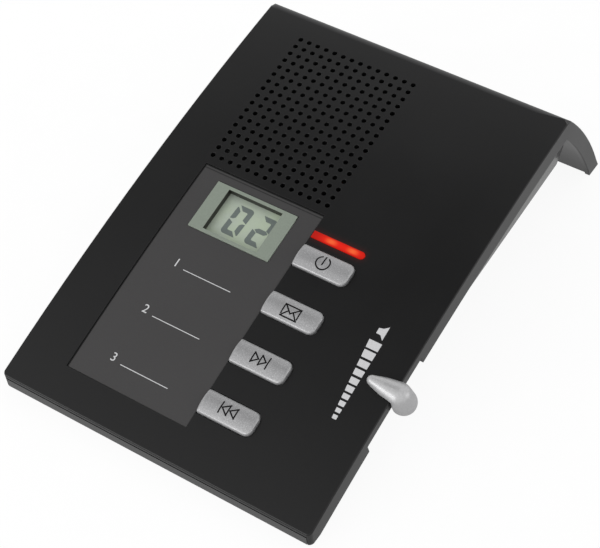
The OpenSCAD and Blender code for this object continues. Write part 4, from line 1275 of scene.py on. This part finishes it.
def softbox(name, spot, aim, width, height, power):
    """A rectangular area light that faces a point."""
    data = bpy.data.lights.new(name, "AREA")
    data.shape = "RECTANGLE"
    data.size, data.size_y = width, height
    data.energy = power
    lamp = bpy.data.objects.new(name, data)
    lamp.location = spot
    lamp.rotation_euler = (Vector(aim) - Vector(spot)).to_track_quat("-Z", "Y").to_euler()
    bpy.context.scene.collection.objects.link(lamp)


def studio_sky():
    """A soft tent of light: bright all round and dim in a patch overhead."""
    world = bpy.data.worlds.new("studio tent")
    bpy.context.scene.world = world
    world.use_nodes = True
    tree = world.node_tree
    back = tree.nodes["Background"]
    where = shade(tree, "TexCoord")
    way = shade(tree, "VectorMath", {"operation": "DOT_PRODUCT"}, {
        0: where.outputs["Generated"], 1: SKY_PATCH})
    off = sum_of(tree, "ARCCOSINE", way.outputs["Value"])
    rim = span(tree, off, SKY_PATCH_CORE, SKY_PATCH_RIM)
    light = blend_colors(tree, rim, (0.05, 0.05, 0.051, 1), (1.0, 1.0, 1.0, 1))
    tree.links.new(light, back.inputs["Color"])
    back.inputs["Strength"].default_value = 1.0


def make_studio():
    looks = bpy.context.scene.answering_studio
    bm = bmesh.new()
    bmesh.ops.create_grid(bm, x_segments=8, y_segments=8, size=3.0)
    mesh = bpy.data.meshes.new("studio_floor")
    bm.to_mesh(mesh)
    bm.free()
    mesh.materials.append(studio_floor("studio_floor"))
    floor = bpy.data.objects.new("studio_floor", mesh)
    bpy.context.scene.collection.objects.link(floor)
    studio_sky()
    softbox("front softbox", *FRONT_BOX, looks.softbox_power)
    softbox("side softbox", *SIDE_BOX, looks.softbox_power * SIDE_SHARE)

    data = bpy.data.cameras.new("camera")
    data.lens = looks.focal_length
    data.sensor_width = 36
    data.sensor_fit = "HORIZONTAL"
    data.clip_start = 0.05
    data.clip_end = 20
    camera = bpy.data.objects.new("camera", data)
    turn = Matrix((CAMERA_RIGHT, -CAMERA_DOWN, -CAMERA_AHEAD)).transposed().to_4x4()
    camera.matrix_world = Matrix.Translation(CAMERA_SPOT) @ turn
    bpy.context.scene.collection.objects.link(camera)
    bpy.context.scene.camera = camera
    bpy.context.scene.view_settings.view_transform = "Standard"


# ---------------------------------------------------------------- operators

class ANSWERING_OT_shell(bpy.types.Operator):
    """Round the shell's edges and hole rims, and give it its black finish"""
    bl_idname = "answering.shell"
    bl_label = "Shell"
    bl_options = {"REGISTER", "UNDO"}

    def execute(self, context):
        make_shell()
        return {"FINISHED"}


class ANSWERING_OT_tray(bpy.types.Operator):
    """Finish the tray and the panel inside the leg"""
    bl_idname = "answering.tray"
    bl_label = "Tray and leg panel"
    bl_options = {"REGISTER", "UNDO"}

    def execute(self, context):
        make_tray()
        return {"FINISHED"}


class ANSWERING_OT_label(bpy.types.Operator):
    """Finish the label card and print its plain index"""
    bl_idname = "answering.label"
    bl_label = "Label card"
    bl_options = {"REGISTER", "UNDO"}

    def execute(self, context):
        make_label()
        return {"FINISHED"}


class ANSWERING_OT_volume_marks(bpy.types.Operator):
    """Print the wedge of bars and the horn beside the slider"""
    bl_idname = "answering.volume_marks"
    bl_label = "Volume marks"
    bl_options = {"REGISTER", "UNDO"}

    def execute(self, context):
        make_volume_marks()
        return {"FINISHED"}


class ANSWERING_OT_display(bpy.types.Operator):
    """Finish the display and show its number"""
    bl_idname = "answering.display"
    bl_label = "Display"
    bl_options = {"REGISTER", "UNDO"}

    def execute(self, context):
        make_display()
        return {"FINISHED"}


class ANSWERING_OT_keys(bpy.types.Operator):
    """Make the four silver keys with their symbols, and finish their switches"""
    bl_idname = "answering.keys"
    bl_label = "Keys"
    bl_options = {"REGISTER", "UNDO"}

    def execute(self, context):
        make_keys()
        return {"FINISHED"}


class ANSWERING_OT_light_bar(bpy.types.Operator):
    """Light the red bar and its lamps"""
    bl_idname = "answering.light_bar"
    bl_label = "Light bar"
    bl_options = {"REGISTER", "UNDO"}

    def execute(self, context):
        make_light_bar()
        return {"FINISHED"}


class ANSWERING_OT_volume_knob(bpy.types.Operator):
    """Make the smooth volume knob and finish its slide control"""
    bl_idname = "answering.volume_knob"
    bl_label = "Volume knob"
    bl_options = {"REGISTER", "UNDO"}

    def execute(self, context):
        make_volume_knob()
        return {"FINISHED"}


class ANSWERING_OT_loudspeaker(bpy.types.Operator):
    """Finish the loudspeaker, its cloth and the microphone"""
    bl_idname = "answering.loudspeaker"
    bl_label = "Loudspeaker and microphone"
    bl_options = {"REGISTER", "UNDO"}

    def execute(self, context):
        make_loudspeaker()
        return {"FINISHED"}


class ANSWERING_OT_boards(bpy.types.Operator):
    """Finish the circuit boards and what stands on them"""
    bl_idname = "answering.boards"
    bl_label = "Boards"
    bl_options = {"REGISTER", "UNDO"}

    def execute(self, context):
        make_boards()
        return {"FINISHED"}


class ANSWERING_OT_sockets(bpy.types.Operator):
    """Finish the telephone socket and the power inlet"""
    bl_idname = "answering.sockets"
    bl_label = "Sockets"
    bl_options = {"REGISTER", "UNDO"}

    def execute(self, context):
        make_sockets()
        return {"FINISHED"}


class ANSWERING_OT_fixings(bpy.types.Operator):
    """Finish the screws and the rubber feet"""
    bl_idname = "answering.fixings"
    bl_label = "Screws and feet"
    bl_options = {"REGISTER", "UNDO"}

    def execute(self, context):
        make_fixings()
        return {"FINISHED"}


class ANSWERING_OT_studio(bpy.types.Operator):
    """Set up the floor, the soft light and the camera"""
    bl_idname = "answering.studio"
    bl_label = "Studio"
    bl_options = {"REGISTER", "UNDO"}

    def execute(self, context):
        make_studio()
        return {"FINISHED"}


class ANSWERING_PT_machine(bpy.types.Panel):
    """Lists the machine's looks and the operators that make them"""
    bl_idname = "ANSWERING_PT_machine"
    bl_label = "Answering machine"
    bl_space_type = "VIEW_3D"
    bl_region_type = "UI"
    bl_category = "Answering machine"

    def draw(self, context):
        column = self.layout.column()
        for group, names in LOOKS_SHOWN:
            looks = getattr(context.scene, group)
            for name in names:
                column.prop(looks, name)
        column.separator()
        for operator in OPERATORS:
            column.operator(operator.bl_idname)


LOOKS_SHOWN = (
    ("answering_case", ("shell_color", "shell_roughness", "edge_radius", "rear_reach",
                        "rim_radius")),
    ("answering_label", ("film_color", "ink_color", "show_index")),
    ("answering_display", ("count", "surround_color", "face_color", "digit_color")),
    ("answering_keys", ("silver_color", "knob_color", "edge_radius", "stroke")),
    ("answering_lamp", ("glow_color", "lamp_color", "spill")),
    ("answering_studio", ("focal_length", "floor_glow", "floor_return", "softbox_power")),
)
GROUPS = (("answering_case", CaseLooks), ("answering_label", LabelLooks),
          ("answering_display", DisplayLooks), ("answering_keys", KeyLooks),
          ("answering_lamp", LampLooks), ("answering_studio", StudioLooks))
OPERATORS = (ANSWERING_OT_shell, ANSWERING_OT_tray, ANSWERING_OT_label, ANSWERING_OT_volume_marks,
             ANSWERING_OT_display, ANSWERING_OT_keys, ANSWERING_OT_light_bar,
             ANSWERING_OT_volume_knob, ANSWERING_OT_loudspeaker, ANSWERING_OT_boards,
             ANSWERING_OT_sockets, ANSWERING_OT_fixings, ANSWERING_OT_studio)


def register():
    for name, group in GROUPS:
        bpy.utils.register_class(group)
        setattr(bpy.types.Scene, name, PointerProperty(type=group))
    for operator in OPERATORS:
        bpy.utils.register_class(operator)
    bpy.utils.register_class(ANSWERING_PT_machine)


def unregister():
    bpy.utils.unregister_class(ANSWERING_PT_machine)
    for operator in reversed(OPERATORS):
        bpy.utils.unregister_class(operator)
    for name, group in reversed(GROUPS):
        delattr(bpy.types.Scene, name)
        bpy.utils.unregister_class(group)


def main():
    register()
    bpy.ops.answering.shell()
    bpy.ops.answering.tray()
    bpy.ops.answering.label()
    bpy.ops.answering.volume_marks()
    bpy.ops.answering.display()
    bpy.ops.answering.keys()
    bpy.ops.answering.light_bar()
    bpy.ops.answering.volume_knob()
    bpy.ops.answering.loudspeaker()
    bpy.ops.answering.boards()
    bpy.ops.answering.sockets()
    bpy.ops.answering.fixings()
    bpy.ops.answering.studio()


if __name__ == "__main__":
    main()
